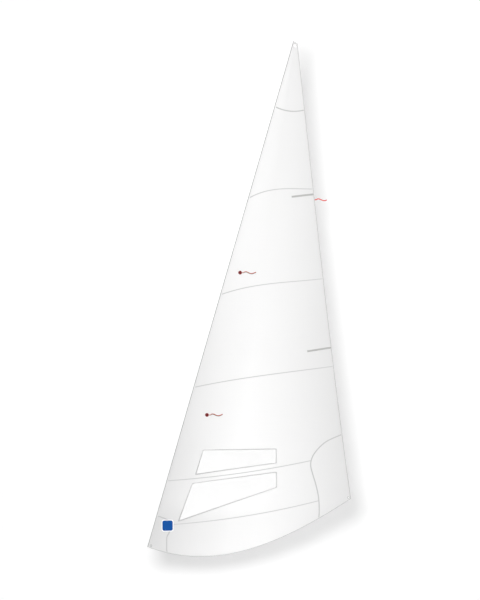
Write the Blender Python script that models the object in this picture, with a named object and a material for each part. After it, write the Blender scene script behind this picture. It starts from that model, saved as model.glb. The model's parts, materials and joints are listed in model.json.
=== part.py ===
"""A dinghy jib: cross-cut cloth panels, corner patches, edge tapes, windows, battens and telltales.

Metres, +Z up. The tack corner is the origin, the luff rakes aft along +X and the sail is seen from
its port side by looking along +Y. The belly lies on the +Y side. Every cloth piece is a thin plate
that follows one faceted belly surface, and the plates are stacked along Y in numbered layers.
"""

import math

import bpy
import numpy as np
from mathutils import Vector
from mathutils.geometry import delaunay_2d_cdt

# Outline of the sail
HEAD_RAKE = 1.460
HEAD_HEIGHT = 5.058
HEAD_WIDTH = 0.048
HEAD_EDGE_DEG = 31.0
CLEW_AFT = 2.036
CLEW_HEIGHT = 0.482
LEECH_HOLLOW = 0.016
LEECH_HOLLOW_SKEW = 0.010
FOOT_ROUND = 0.270
FOOT_ROUND_SKEW = 0.055

# Shape of the belly
CAMBER_MID = 0.090
CAMBER_ENDS = 0.065
CAMBER_DEEPEST_HEIGHT = 2.4
CAMBER_REACH = 2.9
STRAIGHT_FROM = 0.65
TWIST_DEG = 5.0

# Cloth, tapes and the laps between panels
CLOTH = 0.0004
GAP = 0.0003
LAP = 0.010
LUFF_LEG = 0.018
LEECH_LEG = 0.010
FOOT_LEG = 0.010
WIRE_DIAMETER = 0.004
WIRE_END_SETBACK = 0.006

# Heights of the five panel seams at the luff and at the leech
SEAM_1_LUFF_HEIGHT = 0.207
SEAM_1_LEECH_HEIGHT = 0.545
SEAM_2_LUFF_HEIGHT = 0.665
SEAM_2_LEECH_HEIGHT = 0.945
SEAM_3_LUFF_HEIGHT = 1.589
SEAM_3_LEECH_HEIGHT = 1.802
SEAM_4_LUFF_HEIGHT = 2.525
SEAM_4_LEECH_HEIGHT = 2.687
SEAM_5_LUFF_HEIGHT = 3.475
SEAM_5_LEECH_HEIGHT = 3.575

# How far each seam bows up between its ends, and how much more of that lies towards the luff
SEAM_1_BOW = -0.066
SEAM_1_BOW_SKEW = 0.0
SEAM_2_BOW = -0.044
SEAM_2_BOW_SKEW = -0.002
SEAM_3_BOW = 0.0133
SEAM_3_BOW_SKEW = 0.008
SEAM_4_BOW = 0.032
SEAM_4_BOW_SKEW = 0.022
SEAM_5_BOW = 0.051
SEAM_5_BOW_SKEW = 0.026

# Corner patches. The head patch is measured down from the head, the others from their corner.
HEAD_PATCH_LUFF = 0.658
HEAD_PATCH_LEECH = 0.668
HEAD_PATCH_BOW = -0.029
CLEW_PATCH_LEECH = 0.649
CLEW_PATCH_CURVE = (
    (-0.226, 0.588),
    (-0.303, 0.531),
    (-0.372, 0.450),
    (-0.402, 0.381),
    (-0.406, 0.320),
    (-0.387, 0.244),
    (-0.357, 0.144),
    (-0.334, 0.045),
    (-0.324, -0.039),
    (-0.322, -0.131),
    (-0.326, -0.196),
)
TACK_PATCH_LUFF = 0.309
TACK_PATCH_CURVE = (
    (0.123, 0.308),
    (0.150, 0.297),
    (0.181, 0.285),
    (0.247, 0.239),
    (0.222, 0.139),
    (0.210, 0.116),
    (0.200, 0.089),
    (0.198, 0.023),
    (0.200, -0.044),
    (0.217, -0.073),
)

# Clear windows, as the corners of each opening
UPPER_WINDOW = ((0.482, 0.722), (1.289, 0.837), (1.289, 0.976), (0.559, 0.964))
LOWER_WINDOW = ((0.309, 0.252), (1.292, 0.593), (1.292, 0.745), (0.452, 0.630))
WINDOW_LAP = 0.010

# Battens and their pockets, placed by the height where each meets the leech
BATTEN_WIDTH = 0.012
BATTEN_THICKNESS = 0.002
BATTEN_PLAY = 0.0005
BATTEN_END_PLAY = 0.002
POCKET_FLANGE = 0.003
UPPER_BATTEN_HEIGHT = 3.528
UPPER_BATTEN_LENGTH = 0.220
UPPER_BATTEN_TILT_DEG = 6.6
LOWER_BATTEN_HEIGHT = 1.994
LOWER_BATTEN_LENGTH = 0.240
LOWER_BATTEN_TILT_DEG = 9.0

# Pressed rings in the three corners
RING_RADIUS = 0.011
RING_BORE = 0.0055
RING_BARREL_WALL = 0.001
RING_FLANGE = 0.001
RING_LIP = 0.002
RING_EDGE_ROOM = 0.003
RING_HOLE_ROOM = 0.0015

# Telltales
DOT_DIAMETER = 0.038
RIBBON_WIDTH = 0.010
RIBBON_THICKNESS = 0.0003
RIBBON_LENGTH = 0.136
RIBBON_WAVE = 0.009
RIBBON_WAVE_LENGTH = 0.122
RIBBON_LIFT = 0.0004
RIBBON_SWING_DEG = 80
UPPER_TELLTALE_HEIGHT = 2.743
UPPER_TELLTALE_AFT = 0.136
LOWER_TELLTALE_HEIGHT = 1.318
LOWER_TELLTALE_AFT = 0.2155
LEECH_TELLTALE_HEIGHT = 3.472
LEECH_RIBBON_LENGTH = 0.118

# Plain label by the tack
LABEL_AFT = 0.202
LABEL_HEIGHT = 0.211
LABEL_SIZE = 0.118
LABEL_CORNER = 0.022

# Fineness of the faceted belly, and how far the cutting lines run on past the cloth
ROW_STEP = 0.28
COLUMN_STEP = 0.11
COLUMN_CROWDING = 1.25
FOOT_STEPS = 30
SEAM_STEPS = 8
MARGIN = 0.04
PAD_SIDES = 8
PAD_ROOM = 0.0025
RING_SIDES = 20
HOLE_SIDES = 16
DOT_SIDES = 20
RIBBON_STEPS = 12

PITCH = CLOTH + GAP
LUFF_SLOPE = HEAD_RAKE / HEAD_HEIGHT
LUFF_COS = HEAD_HEIGHT / math.hypot(HEAD_RAKE, HEAD_HEIGHT)
HEAD_AFT = (
    HEAD_RAKE + HEAD_WIDTH * math.cos(math.radians(HEAD_EDGE_DEG)),
    HEAD_HEIGHT - HEAD_WIDTH * math.sin(math.radians(HEAD_EDGE_DEG)),
)
LEECH_COS = (HEAD_AFT[1] - CLEW_HEIGHT) / math.hypot(CLEW_AFT - HEAD_AFT[0], HEAD_AFT[1] - CLEW_HEIGHT)
FRONT_TAPE = -2
REAR_TAPE = 3
STACK_MIDDLE = (FRONT_TAPE * PITCH + REAR_TAPE * PITCH + CLOTH) / 2
STACK_HALF = STACK_MIDDLE - FRONT_TAPE * PITCH

# The round nose of the luff sleeve, as distances aft of the luff and half heights there
WIRE_RADIUS = WIRE_DIAMETER / 2
WIRE_CENTRE = CLOTH + GAP + WIRE_RADIUS
NOSE_FRONT_HALF = WIRE_RADIUS * 0.5
NOSE_STARTS = CLOTH + GAP + NOSE_FRONT_HALF
NOSE_ENDS = WIRE_CENTRE + WIRE_RADIUS * 0.6
NOSE = NOSE_ENDS + WIRE_RADIUS
PANEL_EDGE = NOSE + GAP * 2
EDGE_INSET = CLOTH + GAP


def front_of(layer):
    return layer * PITCH


def back_of(layer):
    return layer * PITCH + CLOTH


def luff_x(z):
    return LUFF_SLOPE * np.asarray(z, float)


def bowed(u, bow, skew):
    """Height over a chord of a curve that rises by about bow, more of it near u = 0 with skew."""
    return 4 * u * (1 - u) * (bow + skew * (1 - 2 * u))


def leech_x(z):
    u = (np.asarray(z, float) - CLEW_HEIGHT) / (HEAD_AFT[1] - CLEW_HEIGHT)
    line = CLEW_AFT + (HEAD_AFT[0] - CLEW_AFT) * u
    inside = np.clip(u, 0, 1)
    return line - bowed(inside, LEECH_HOLLOW, LEECH_HOLLOW_SKEW)


def foot_z(x):
    u = np.asarray(x, float) / CLEW_AFT
    return CLEW_HEIGHT * u - bowed(u, FOOT_ROUND, FOOT_ROUND_SKEW)


def belly(x, z):
    """Depth of the smooth belly: a cubic from the sleeve that runs straight aft of STRAIGHT_FROM."""
    m = STRAIGHT_FROM
    chord = np.maximum(leech_x(z) - luff_x(z), HEAD_WIDTH * 0.5) - NOSE
    aft = np.maximum(x - luff_x(z) - NOSE, 0)
    s = aft / chord
    curved = s**3 - 3 * m * s**2 + m**2 * (3 - m) * s
    peak_at = m - m * math.sqrt(m / 3)
    peak = peak_at**3 - 3 * m * peak_at**2 + m**2 * (3 - m) * peak_at
    shape = np.where(s < m, curved, m**3 * (1 - s)) / peak
    away = (z - CAMBER_DEEPEST_HEIGHT) / CAMBER_REACH
    camber = CAMBER_MID - (CAMBER_MID - CAMBER_ENDS) * away**2
    twist = math.tan(math.radians(TWIST_DEG)) * (z - CLEW_HEIGHT) / (HEAD_HEIGHT - CLEW_HEIGHT)
    return camber * chord * shape + twist * aft


# A line is ("z", xs, zs) where x follows from z, or ("x", xs, zs) where z follows from x.
def past(line, x, z):
    """How far a point lies aft of a line of x over z, or above a line of z over x."""
    kind, xs, zs = line
    if kind == "z":
        return x - np.interp(z, zs, xs)
    return z - np.interp(x, xs, zs)


def points_of(line):
    return np.column_stack(line[1:])


LOW_Z = float(min(foot_z(np.linspace(0, CLEW_AFT, 60)))) - MARGIN
HIGH_Z = HEAD_HEIGHT + MARGIN / 2
ROWS = np.linspace(LOW_Z, HIGH_Z, max(4, round((HIGH_Z - LOW_Z) / ROW_STEP)) + 1)
FOOT_XS = np.linspace(-MARGIN, CLEW_AFT + MARGIN, FOOT_STEPS + 1)


def luff_line(inset):
    return "z", luff_x(ROWS) + inset / LUFF_COS, ROWS


def leech_line(inset):
    return "z", leech_x(ROWS) - inset / LEECH_COS, ROWS


def foot_line(inset):
    rise = (foot_z(FOOT_XS + 1e-4) - foot_z(FOOT_XS - 1e-4)) / 2e-4
    return "x", FOOT_XS, foot_z(FOOT_XS) + inset * np.hypot(1, rise)


def head_line(inset):
    slope = -math.tan(math.radians(HEAD_EDGE_DEG))
    xs = np.array([HEAD_RAKE - MARGIN, HEAD_AFT[0] + MARGIN])
    return "x", xs, HEAD_HEIGHT + slope * (xs - HEAD_RAKE) - inset


def curve_line(luff_end, leech_end, bow, skew, raised=0.0):
    """A bowed line across the sail from a height on the luff to one on the leech, run on past both."""
    start = (float(luff_x(luff_end)), luff_end)
    end = (float(leech_x(leech_end)), leech_end)
    u = np.linspace(0, 1, SEAM_STEPS + 1)
    xs = start[0] + (end[0] - start[0]) * u
    zs = start[1] + (end[1] - start[1]) * u + bowed(u, bow, skew)
    before = MARGIN * (zs[1] - zs[0]) / (xs[1] - xs[0])
    after = MARGIN * (zs[-1] - zs[-2]) / (xs[-1] - xs[-2])
    xs = np.concatenate([[xs[0] - MARGIN], xs, [xs[-1] + MARGIN]])
    zs = np.concatenate([[zs[0] - before], zs, [zs[-1] + after]])
    return "x", xs, zs + raised


SEAMS = (
    (SEAM_1_LUFF_HEIGHT, SEAM_1_LEECH_HEIGHT, SEAM_1_BOW, SEAM_1_BOW_SKEW),
    (SEAM_2_LUFF_HEIGHT, SEAM_2_LEECH_HEIGHT, SEAM_2_BOW, SEAM_2_BOW_SKEW),
    (SEAM_3_LUFF_HEIGHT, SEAM_3_LEECH_HEIGHT, SEAM_3_BOW, SEAM_3_BOW_SKEW),
    (SEAM_4_LUFF_HEIGHT, SEAM_4_LEECH_HEIGHT, SEAM_4_BOW, SEAM_4_BOW_SKEW),
    (SEAM_5_LUFF_HEIGHT, SEAM_5_LEECH_HEIGHT, SEAM_5_BOW, SEAM_5_BOW_SKEW),
)


def inside(polygon, x, z):
    """True for each point inside a closed polygon, by counting the edges to its right."""
    a = np.asarray(polygon, float)
    b = np.roll(a, -1, axis=0)
    x = np.asarray(x, float)[..., None]
    z = np.asarray(z, float)[..., None]
    spans = (a[:, 1] > z) != (b[:, 1] > z)
    rise = np.where(b[:, 1] == a[:, 1], 1, b[:, 1] - a[:, 1])
    crossing = a[:, 0] + (z - a[:, 1]) / rise * (b[:, 0] - a[:, 0])
    return (spans & (x < crossing)).sum(-1) % 2 == 1


def closed(polygon):
    return np.vstack([polygon, polygon[:1]])


def ring_of(centre, radius, sides, turn=0.0):
    angles = np.arange(sides) * 2 * math.pi / sides + turn
    return np.column_stack(
        [centre[0] + radius * np.cos(angles), centre[1] + radius * np.sin(angles)]
    )


def crossing_of(down_line, across_line):
    """Where a line of x over z meets a line of z over x, by stepping between the two."""
    x, z = down_line[1][0], across_line[2][0]
    for _ in range(60):
        z = float(np.interp(x, across_line[1], across_line[2]))
        x = float(np.interp(z, down_line[2], down_line[1]))
    return x, z


def meeting_of(line_a, line_b):
    """Where two lines of x over z meet."""
    low, high = ROWS[0], ROWS[-1]
    for _ in range(60):
        middle = (low + high) / 2
        if np.interp(middle, ROWS, line_a[1]) < np.interp(middle, ROWS, line_b[1]):
            low = middle
        else:
            high = middle
    return float(np.interp(low, ROWS, line_a[1])), low


RING_CLEAR = RING_RADIUS + RING_EDGE_ROOM
RING_CENTRES = {
    "tack": crossing_of(luff_line(LUFF_LEG + RING_CLEAR), foot_line(FOOT_LEG + RING_CLEAR)),
    "clew": crossing_of(leech_line(LEECH_LEG + RING_CLEAR), foot_line(FOOT_LEG + RING_CLEAR)),
    "head": meeting_of(luff_line(LUFF_LEG + RING_CLEAR), leech_line(LEECH_LEG + RING_CLEAR)),
}
RING_HOLE = RING_BORE + RING_BARREL_WALL + RING_HOLE_ROOM


def slopes(x, z):
    step = 1e-4
    return (
        float(belly(x + step, z) - belly(x - step, z)) / (2 * step),
        float(belly(x, z + step) - belly(x, z - step)) / (2 * step),
    )


def make_facets():
    """The one triangulated belly that every cloth piece follows, flat under each corner ring."""
    points, depths, chains = [], [], {"luff": [], "nose": [], "leech": []}
    half_side = math.pi / PAD_SIDES
    pad_radius = (RING_RADIUS + PAD_ROOM) / math.cos(half_side)
    pads = {
        corner: ring_of(centre, pad_radius, PAD_SIDES, half_side)
        for corner, centre in RING_CENTRES.items()
    }

    def add(x, z, depth, chain=None):
        if chain:
            chains[chain].append(len(points))
        points.append((float(x), float(z)))
        depths.append(float(depth))

    for z in ROWS:
        start, end = float(luff_x(z)), float(leech_x(z))
        end = max(end, start + HEAD_WIDTH * 0.6)
        nose = start + NOSE / LUFF_COS
        add(start - MARGIN, z, 0)
        add(start, z, 0, "luff")
        add(nose, z, 0, "nose")
        count = max(1, round((end - nose) / COLUMN_STEP))
        for i in range(1, count):
            x = nose + (end - nose) * (i / count) ** COLUMN_CROWDING
            near = [math.hypot(x - c[0], z - c[1]) for c in RING_CENTRES.values()]
            if min(near) > pad_radius + RING_RADIUS:
                add(x, z, belly(x, z))
        add(end, z, belly(end, z), "leech")
        add(end + MARGIN, z, belly(end, z) + slopes(end, z)[0] * MARGIN)
    edges = []
    for chain in chains.values():
        edges += list(zip(chain[:-1], chain[1:]))
    for corner, pad in pads.items():
        x0, z0 = RING_CENTRES[corner]
        along, up = slopes(x0, z0)
        first = len(points)
        for x, z in pad:
            add(x, z, belly(x0, z0) + along * (x - x0) + up * (z - z0))
        edges += [(first + i, first + (i + 1) % PAD_SIDES) for i in range(PAD_SIDES)]
    found = delaunay_2d_cdt([Vector(p) for p in points], edges, [], 0, 2e-6, True)
    corners = np.array([tuple(v) for v in found[0]])
    origins = [ids[0] for ids in found[3]]
    return corners, np.array(depths)[origins], np.array(found[2]), np.array(found[1])


FACET_POINTS, FACET_DEPTHS, FACETS, FACET_EDGES = make_facets()


def depth_at(x, z):
    """Depth of the faceted belly at each point."""
    x, z = np.atleast_1d(x).astype(float), np.atleast_1d(z).astype(float)
    a, b, c = (FACET_POINTS[FACETS[:, i]] for i in range(3))
    area = (b[:, 0] - a[:, 0]) * (c[:, 1] - a[:, 1]) - (b[:, 1] - a[:, 1]) * (c[:, 0] - a[:, 0])
    px, pz = x[:, None], z[:, None]
    to_b = ((px - a[:, 0]) * (c[:, 1] - a[:, 1]) - (pz - a[:, 1]) * (c[:, 0] - a[:, 0])) / area
    to_c = ((b[:, 0] - a[:, 0]) * (pz - a[:, 1]) - (b[:, 1] - a[:, 1]) * (px - a[:, 0])) / area
    worst = np.minimum(np.minimum(to_b, to_c), 1 - to_b - to_c)
    best = worst.argmax(axis=1)
    rows = np.arange(len(x))
    share_b, share_c = to_b[rows, best], to_c[rows, best]
    depths = FACET_DEPTHS[FACETS[best]]
    return depths[:, 0] * (1 - share_b - share_c) + depths[:, 1] * share_b + depths[:, 2] * share_c


def material(name, colour, roughness=0.6, metallic=0.0, alpha=1.0):
    made = bpy.data.materials.get(name) or bpy.data.materials.new(name)
    made.use_nodes = True
    shader = made.node_tree.nodes["Principled BSDF"]
    shader.inputs["Base Color"].default_value = (*colour, 1)
    shader.inputs["Roughness"].default_value = roughness
    shader.inputs["Metallic"].default_value = metallic
    shader.inputs["Alpha"].default_value = alpha
    return made


def add_object(name, corners, faces, looks, origin=(0, 0, 0)):
    mesh = bpy.data.meshes.new(name)
    corners = np.asarray(corners, float) - np.asarray(origin, float)
    mesh.from_pydata(corners.tolist(), [], [list(f) for f in faces])
    mesh.materials.append(looks)
    made = bpy.data.objects.new(name, mesh)
    made.location = origin
    bpy.context.scene.collection.objects.link(made)
    return made


def zipped(low_side, high_side):
    """Triangles between two rising chains of corners, for a wall seen with low_side on its right."""
    i = j = 0
    found = []
    while i < len(low_side) - 1 or j < len(high_side) - 1:
        if j == len(high_side) - 1 or (
            i < len(low_side) - 1 and i / len(low_side) <= j / len(high_side)
        ):
            found.append((high_side[j], low_side[i], low_side[i + 1]))
            i += 1
        else:
            found.append((high_side[j], low_side[i], high_side[j + 1]))
            j += 1
    return [f for f in found if len(set(f)) == 3]


def plate(name, cuts, zones, looks):
    """A solid of plates that follow the belly.

    cuts are the lines that bound the zones. Each zone is a test of points and a list of spans,
    each from a nearer to a further surface, given as heights or as functions of x and z.
    """
    coords = [tuple(p) for p in FACET_POINTS]
    edges = [tuple(e) for e in FACET_EDGES]
    for cut in cuts:
        first = len(coords)
        coords += [tuple(p) for p in cut]
        edges += [(first + i, first + i + 1) for i in range(len(cut) - 1)]
    found = delaunay_2d_cdt([Vector(p) for p in coords], edges, [], 0, 2e-6, False)
    flat = np.array([tuple(v) for v in found[0]])
    triangles = np.array(found[2])
    middles = flat[triangles].mean(axis=1)
    zone_of = np.full(len(triangles), -1)
    for number, (test, _) in enumerate(zones):
        hit = test(middles[:, 0], middles[:, 1]) & (zone_of < 0)
        zone_of[hit] = number
    keep = zone_of >= 0
    triangles, zone_of = triangles[keep], zone_of[keep]
    depths = np.zeros(len(flat))
    used = np.unique(triangles)
    depths[used] = depth_at(flat[used, 0], flat[used, 1])

    surfaces = {}
    for _, spans in zones:
        for span in spans:
            for surface in span:
                if surface not in surfaces:
                    height = surface(flat[:, 0], flat[:, 1]) if callable(surface) else surface
                    surfaces[surface] = np.round(np.zeros(len(flat)) + height, 9)

    corner_ids, corners = {}, []

    def corner(point, height):
        key = (int(point), float(height))
        if key not in corner_ids:
            corner_ids[key] = len(corners)
            corners.append((flat[point, 0], depths[point] + height, flat[point, 1]))
        return corner_ids[key]

    levels = {}
    owner = {}
    for t, (points, zone) in enumerate(zip(triangles, zone_of)):
        for k in range(3):
            owner[(points[k], points[(k + 1) % 3])] = t
            at = levels.setdefault(points[k], set())
            for span in zones[zone][1]:
                at.update(float(surfaces[surface][points[k]]) for surface in span)

    faces = []
    for t, (points, zone) in enumerate(zip(triangles, zone_of)):
        spans = zones[zone][1]
        for near, far in spans:
            faces.append([corner(p, surfaces[near][p]) for p in points])
            faces.append([corner(p, surfaces[far][p]) for p in points[::-1]])
        for k in range(3):
            v1, v2 = points[k], points[(k + 1) % 3]
            beyond = owner.get((v2, v1))
            others = zones[zone_of[beyond]][1] if beyond is not None else []
            if others is spans:
                continue
            ends = {s for span in list(spans) + list(others) for s in span}
            ends = sorted(ends, key=lambda s: surfaces[s][v1] + surfaces[s][v2])
            for low, high in zip(ends[:-1], ends[1:]):
                a1, b1 = float(surfaces[low][v1]), float(surfaces[high][v1])
                a2, b2 = float(surfaces[low][v2]), float(surfaces[high][v2])
                middle = (a1 + b1 + a2 + b2) / 4
                holds = [
                    any(
                        surfaces[n][v1] + surfaces[n][v2] < 2 * middle
                        and surfaces[f][v1] + surfaces[f][v2] > 2 * middle
                        for n, f in some
                    )
                    for some in (spans, others)
                ]
                if holds[0] and not holds[1]:
                    side1 = [corner(v1, h) for h in sorted(levels[v1]) if a1 <= h <= b1]
                    side2 = [corner(v2, h) for h in sorted(levels[v2]) if a2 <= h <= b2]
                    faces += zipped(side1, side2)
    return add_object(name, corners, faces, looks)


def whole(layer):
    return [(front_of(layer), back_of(layer))]


# Looks of the pieces
CLOTH_LOOK = material("sail_cloth", (0.86, 0.87, 0.88))
TAPE_LOOK = material("edge_tape", (0.88, 0.88, 0.88))
FILM_LOOK = material("window_film", (0.93, 0.95, 0.96), 0.1, 0.0, 0.3)
POCKET_LOOK = material("pocket_cloth", (0.48, 0.48, 0.46))
BATTEN_LOOK = material("batten_fibreglass", (0.75, 0.74, 0.62), 0.4)
METAL_LOOK = material("ring_metal", (0.62, 0.62, 0.60), 0.3, 1.0)
WIRE_LOOK = material("wire_cover", (0.8, 0.8, 0.8), 0.4)
RED_LOOK = material("telltale_red", (0.45, 0.03, 0.03))
GREEN_LOOK = material("telltale_green", (0.02, 0.28, 0.08))
LABEL_LOOK = material("label_blue", (0.01, 0.09, 0.36))

HOLES = {corner: ring_of(at, RING_HOLE, HOLE_SIDES) for corner, at in RING_CENTRES.items()}


def in_sail(x, z, luff=PANEL_EDGE, leech=EDGE_INSET, foot=EDGE_INSET, head=0.0):
    return (
        (past(luff_line(luff), x, z) > 0)
        & (past(leech_line(leech), x, z) < 0)
        & (past(foot_line(foot), x, z) > 0)
        & (past(head_line(head), x, z) < 0)
    )


def in_hole(x, z):
    found = np.zeros(np.shape(x), bool)
    for hole in HOLES.values():
        found |= inside(hole, x, z)
    return found


CLOTH_EDGES = [
    points_of(luff_line(PANEL_EDGE)),
    points_of(leech_line(EDGE_INSET)),
    points_of(foot_line(EDGE_INSET)),
    points_of(head_line(0.0)),
]
HOLE_CUTS = [closed(hole) for hole in HOLES.values()]
WINDOWS = (np.array(UPPER_WINDOW), np.array(LOWER_WINDOW))


def layer_of_panel(number):
    """Even panels lie on the port side of the laps."""
    return 0 if number % 2 == 0 else 1


def panel_lines(number):
    """The lower and the upper edge of a panel, where it has them, with the laps of the odd ones."""
    lap = LAP if layer_of_panel(number) else 0.0
    lower = curve_line(*SEAMS[number - 2], raised=-lap) if number > 1 else None
    upper = curve_line(*SEAMS[number - 1], raised=lap) if number <= len(SEAMS) else None
    return lower, upper


def in_panel(number, x, z):
    lower, upper = panel_lines(number)
    found = np.ones(np.shape(x), bool)
    if lower is not None:
        found &= past(lower, x, z) > 0
    if upper is not None:
        found &= past(upper, x, z) < 0
    return found


PANELS = range(1, len(SEAMS) + 2)
PANEL_NAMES = ("foot", "tack", "window", "lower", "upper", "head")


def make_panels():
    for number in PANELS:
        cuts = CLOTH_EDGES + HOLE_CUTS + [closed(w) for w in WINDOWS]
        cuts += [points_of(line) for line in panel_lines(number) if line is not None]

        def kept(x, z, number=number):
            open_here = in_hole(x, z)
            for window in WINDOWS:
                open_here |= inside(window, x, z)
            return in_sail(x, z) & in_panel(number, x, z) & ~open_here

        name = f"panel_{number}_{PANEL_NAMES[number - 1]}"
        plate(name, cuts, [(kept, whole(layer_of_panel(number)))], CLOTH_LOOK)


def layers_under(points):
    """The panel layers that lie under any of these points."""
    x, z = np.asarray(points, float).T
    found = [layer_of_panel(n) for n in PANELS if in_panel(n, x, z).any()]
    return min(found), max(found)


def skin_at(x, z, port):
    """The outermost panel face on one side of the sail at each point, as a height off the belly."""
    found = np.full(np.shape(x), front_of(1) if port else back_of(0))
    for number in PANELS:
        layer = layer_of_panel(number)
        here = in_panel(number, x, z)
        if port:
            found = np.where(here, np.minimum(found, front_of(layer)), found)
        else:
            found = np.where(here, np.maximum(found, back_of(layer)), found)
    return found


def head_patch_line():
    return curve_line(HEAD_HEIGHT - HEAD_PATCH_LUFF, HEAD_AFT[1] - HEAD_PATCH_LEECH, HEAD_PATCH_BOW, 0.0)


def clew_patch():
    top = CLEW_HEIGHT + CLEW_PATCH_LEECH
    shift = np.array([CLEW_AFT, CLEW_HEIGHT])
    curve = [(CLEW_AFT + MARGIN, top), (float(leech_x(top)), top)]
    curve += [tuple(shift + p) for p in CLEW_PATCH_CURVE]
    last = shift + CLEW_PATCH_CURVE[-1]
    return np.array(curve + [(last[0], last[1] - 2 * MARGIN), (CLEW_AFT + MARGIN, last[1] - 2 * MARGIN)])


def tack_patch():
    top = TACK_PATCH_LUFF
    at_luff = float(luff_x(top))
    last = TACK_PATCH_CURVE[-1]
    curve = [(-2 * MARGIN, -4 * MARGIN), (at_luff - MARGIN, top), (at_luff, top)]
    curve += list(TACK_PATCH_CURVE)
    return np.array(curve + [(last[0], last[1] - 2 * MARGIN)])


def rear_patch_layer(corner):
    centre = np.array(RING_CENTRES[corner])
    reach = ring_of(centre, RING_RADIUS, 8)
    if corner == "head":
        return layer_of_panel(len(SEAMS) + 1) + 1
    return max(layers_under(reach)[1], 1) + 1


def make_patches():
    outlines = {"tack": tack_patch(), "clew": clew_patch(), "head": None}
    for corner, outline in outlines.items():
        line = head_patch_line() if outline is None else None

        def kept(x, z, outline=outline, line=line):
            shape = inside(outline, x, z) if line is None else past(line, x, z) > 0
            return in_sail(x, z) & shape & ~in_hole(x, z)

        shape_cut = closed(outline) if line is None else points_of(line)
        cuts = CLOTH_EDGES + HOLE_CUTS + [shape_cut]
        plate(f"{corner}_patch_port", cuts, [(kept, whole(-1))], CLOTH_LOOK)
        rear = rear_patch_layer(corner)
        plate(f"{corner}_patch_starboard", cuts, [(kept, whole(rear))], CLOTH_LOOK)


def bevelled_offset(polygon, width):
    """A polygon grown by width, with each corner cut off square to its bisector."""
    grown = []
    count = len(polygon)
    for i in range(count):
        before, here, after = polygon[i - 1], polygon[i], polygon[(i + 1) % count]
        for a, b in ((before, here), (here, after)):
            along = (b - a) / np.linalg.norm(b - a)
            grown.append(here + width * np.array([along[1], -along[0]]))
    return np.array(grown)


def make_windows():
    for name, opening in zip(("window_upper", "window_lower"), WINDOWS):
        film = bevelled_offset(opening, WINDOW_LAP)
        fine = np.linspace(0, 1, 12)[:, None]
        rim = np.vstack([a + (b - a) * fine for a, b in zip(film, np.roll(film, -1, axis=0))])
        layer = layers_under(rim)[1] + 1
        for corner, outline in (("tack", tack_patch()), ("clew", clew_patch())):
            if inside(outline, rim[:, 0], rim[:, 1]).any():
                layer = max(layer, rear_patch_layer(corner) + 1)

        def kept(x, z, film=film):
            return inside(film, x, z) & in_sail(x, z, LUFF_LEG + GAP, LEECH_LEG + GAP, FOOT_LEG + GAP)

        cuts = [closed(film), points_of(luff_line(LUFF_LEG + GAP))]
        cuts += [points_of(leech_line(LEECH_LEG + GAP)), points_of(foot_line(FOOT_LEG + GAP))]
        plate(name, cuts, [(kept, whole(layer))], FILM_LOOK)


def batten_frame(z, length, tilt_deg):
    """The leech end of a batten, its direction outwards and its direction across, in the XZ plane."""
    end = np.array([float(np.interp(z, ROWS, leech_x(ROWS))), z])
    tilt = math.radians(tilt_deg)
    out = np.array([math.cos(tilt), math.sin(tilt)])
    return end, out, np.array([-out[1], out[0]]), length


BATTENS = {
    "upper": batten_frame(UPPER_BATTEN_HEIGHT, UPPER_BATTEN_LENGTH, UPPER_BATTEN_TILT_DEG),
    "lower": batten_frame(LOWER_BATTEN_HEIGHT, LOWER_BATTEN_LENGTH, LOWER_BATTEN_TILT_DEG),
}
POCKET_CHANNEL = BATTEN_WIDTH / 2 + BATTEN_PLAY
POCKET_HALF = POCKET_CHANNEL + CLOTH + POCKET_FLANGE


def across(frame, x, z):
    end, _, side, _ = frame
    return (x - end[0]) * side[0] + (z - end[1]) * side[1]


def inwards(frame, x, z):
    end, out, _, _ = frame
    return -((x - end[0]) * out[0] + (z - end[1]) * out[1])


def strip_line(frame, offset, reach):
    """A straight line along a batten, offset across it, from outside the leech inwards."""
    end, out, side, _ = frame
    return np.array([end + side * offset + out * MARGIN, end + side * offset - out * reach])


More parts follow.
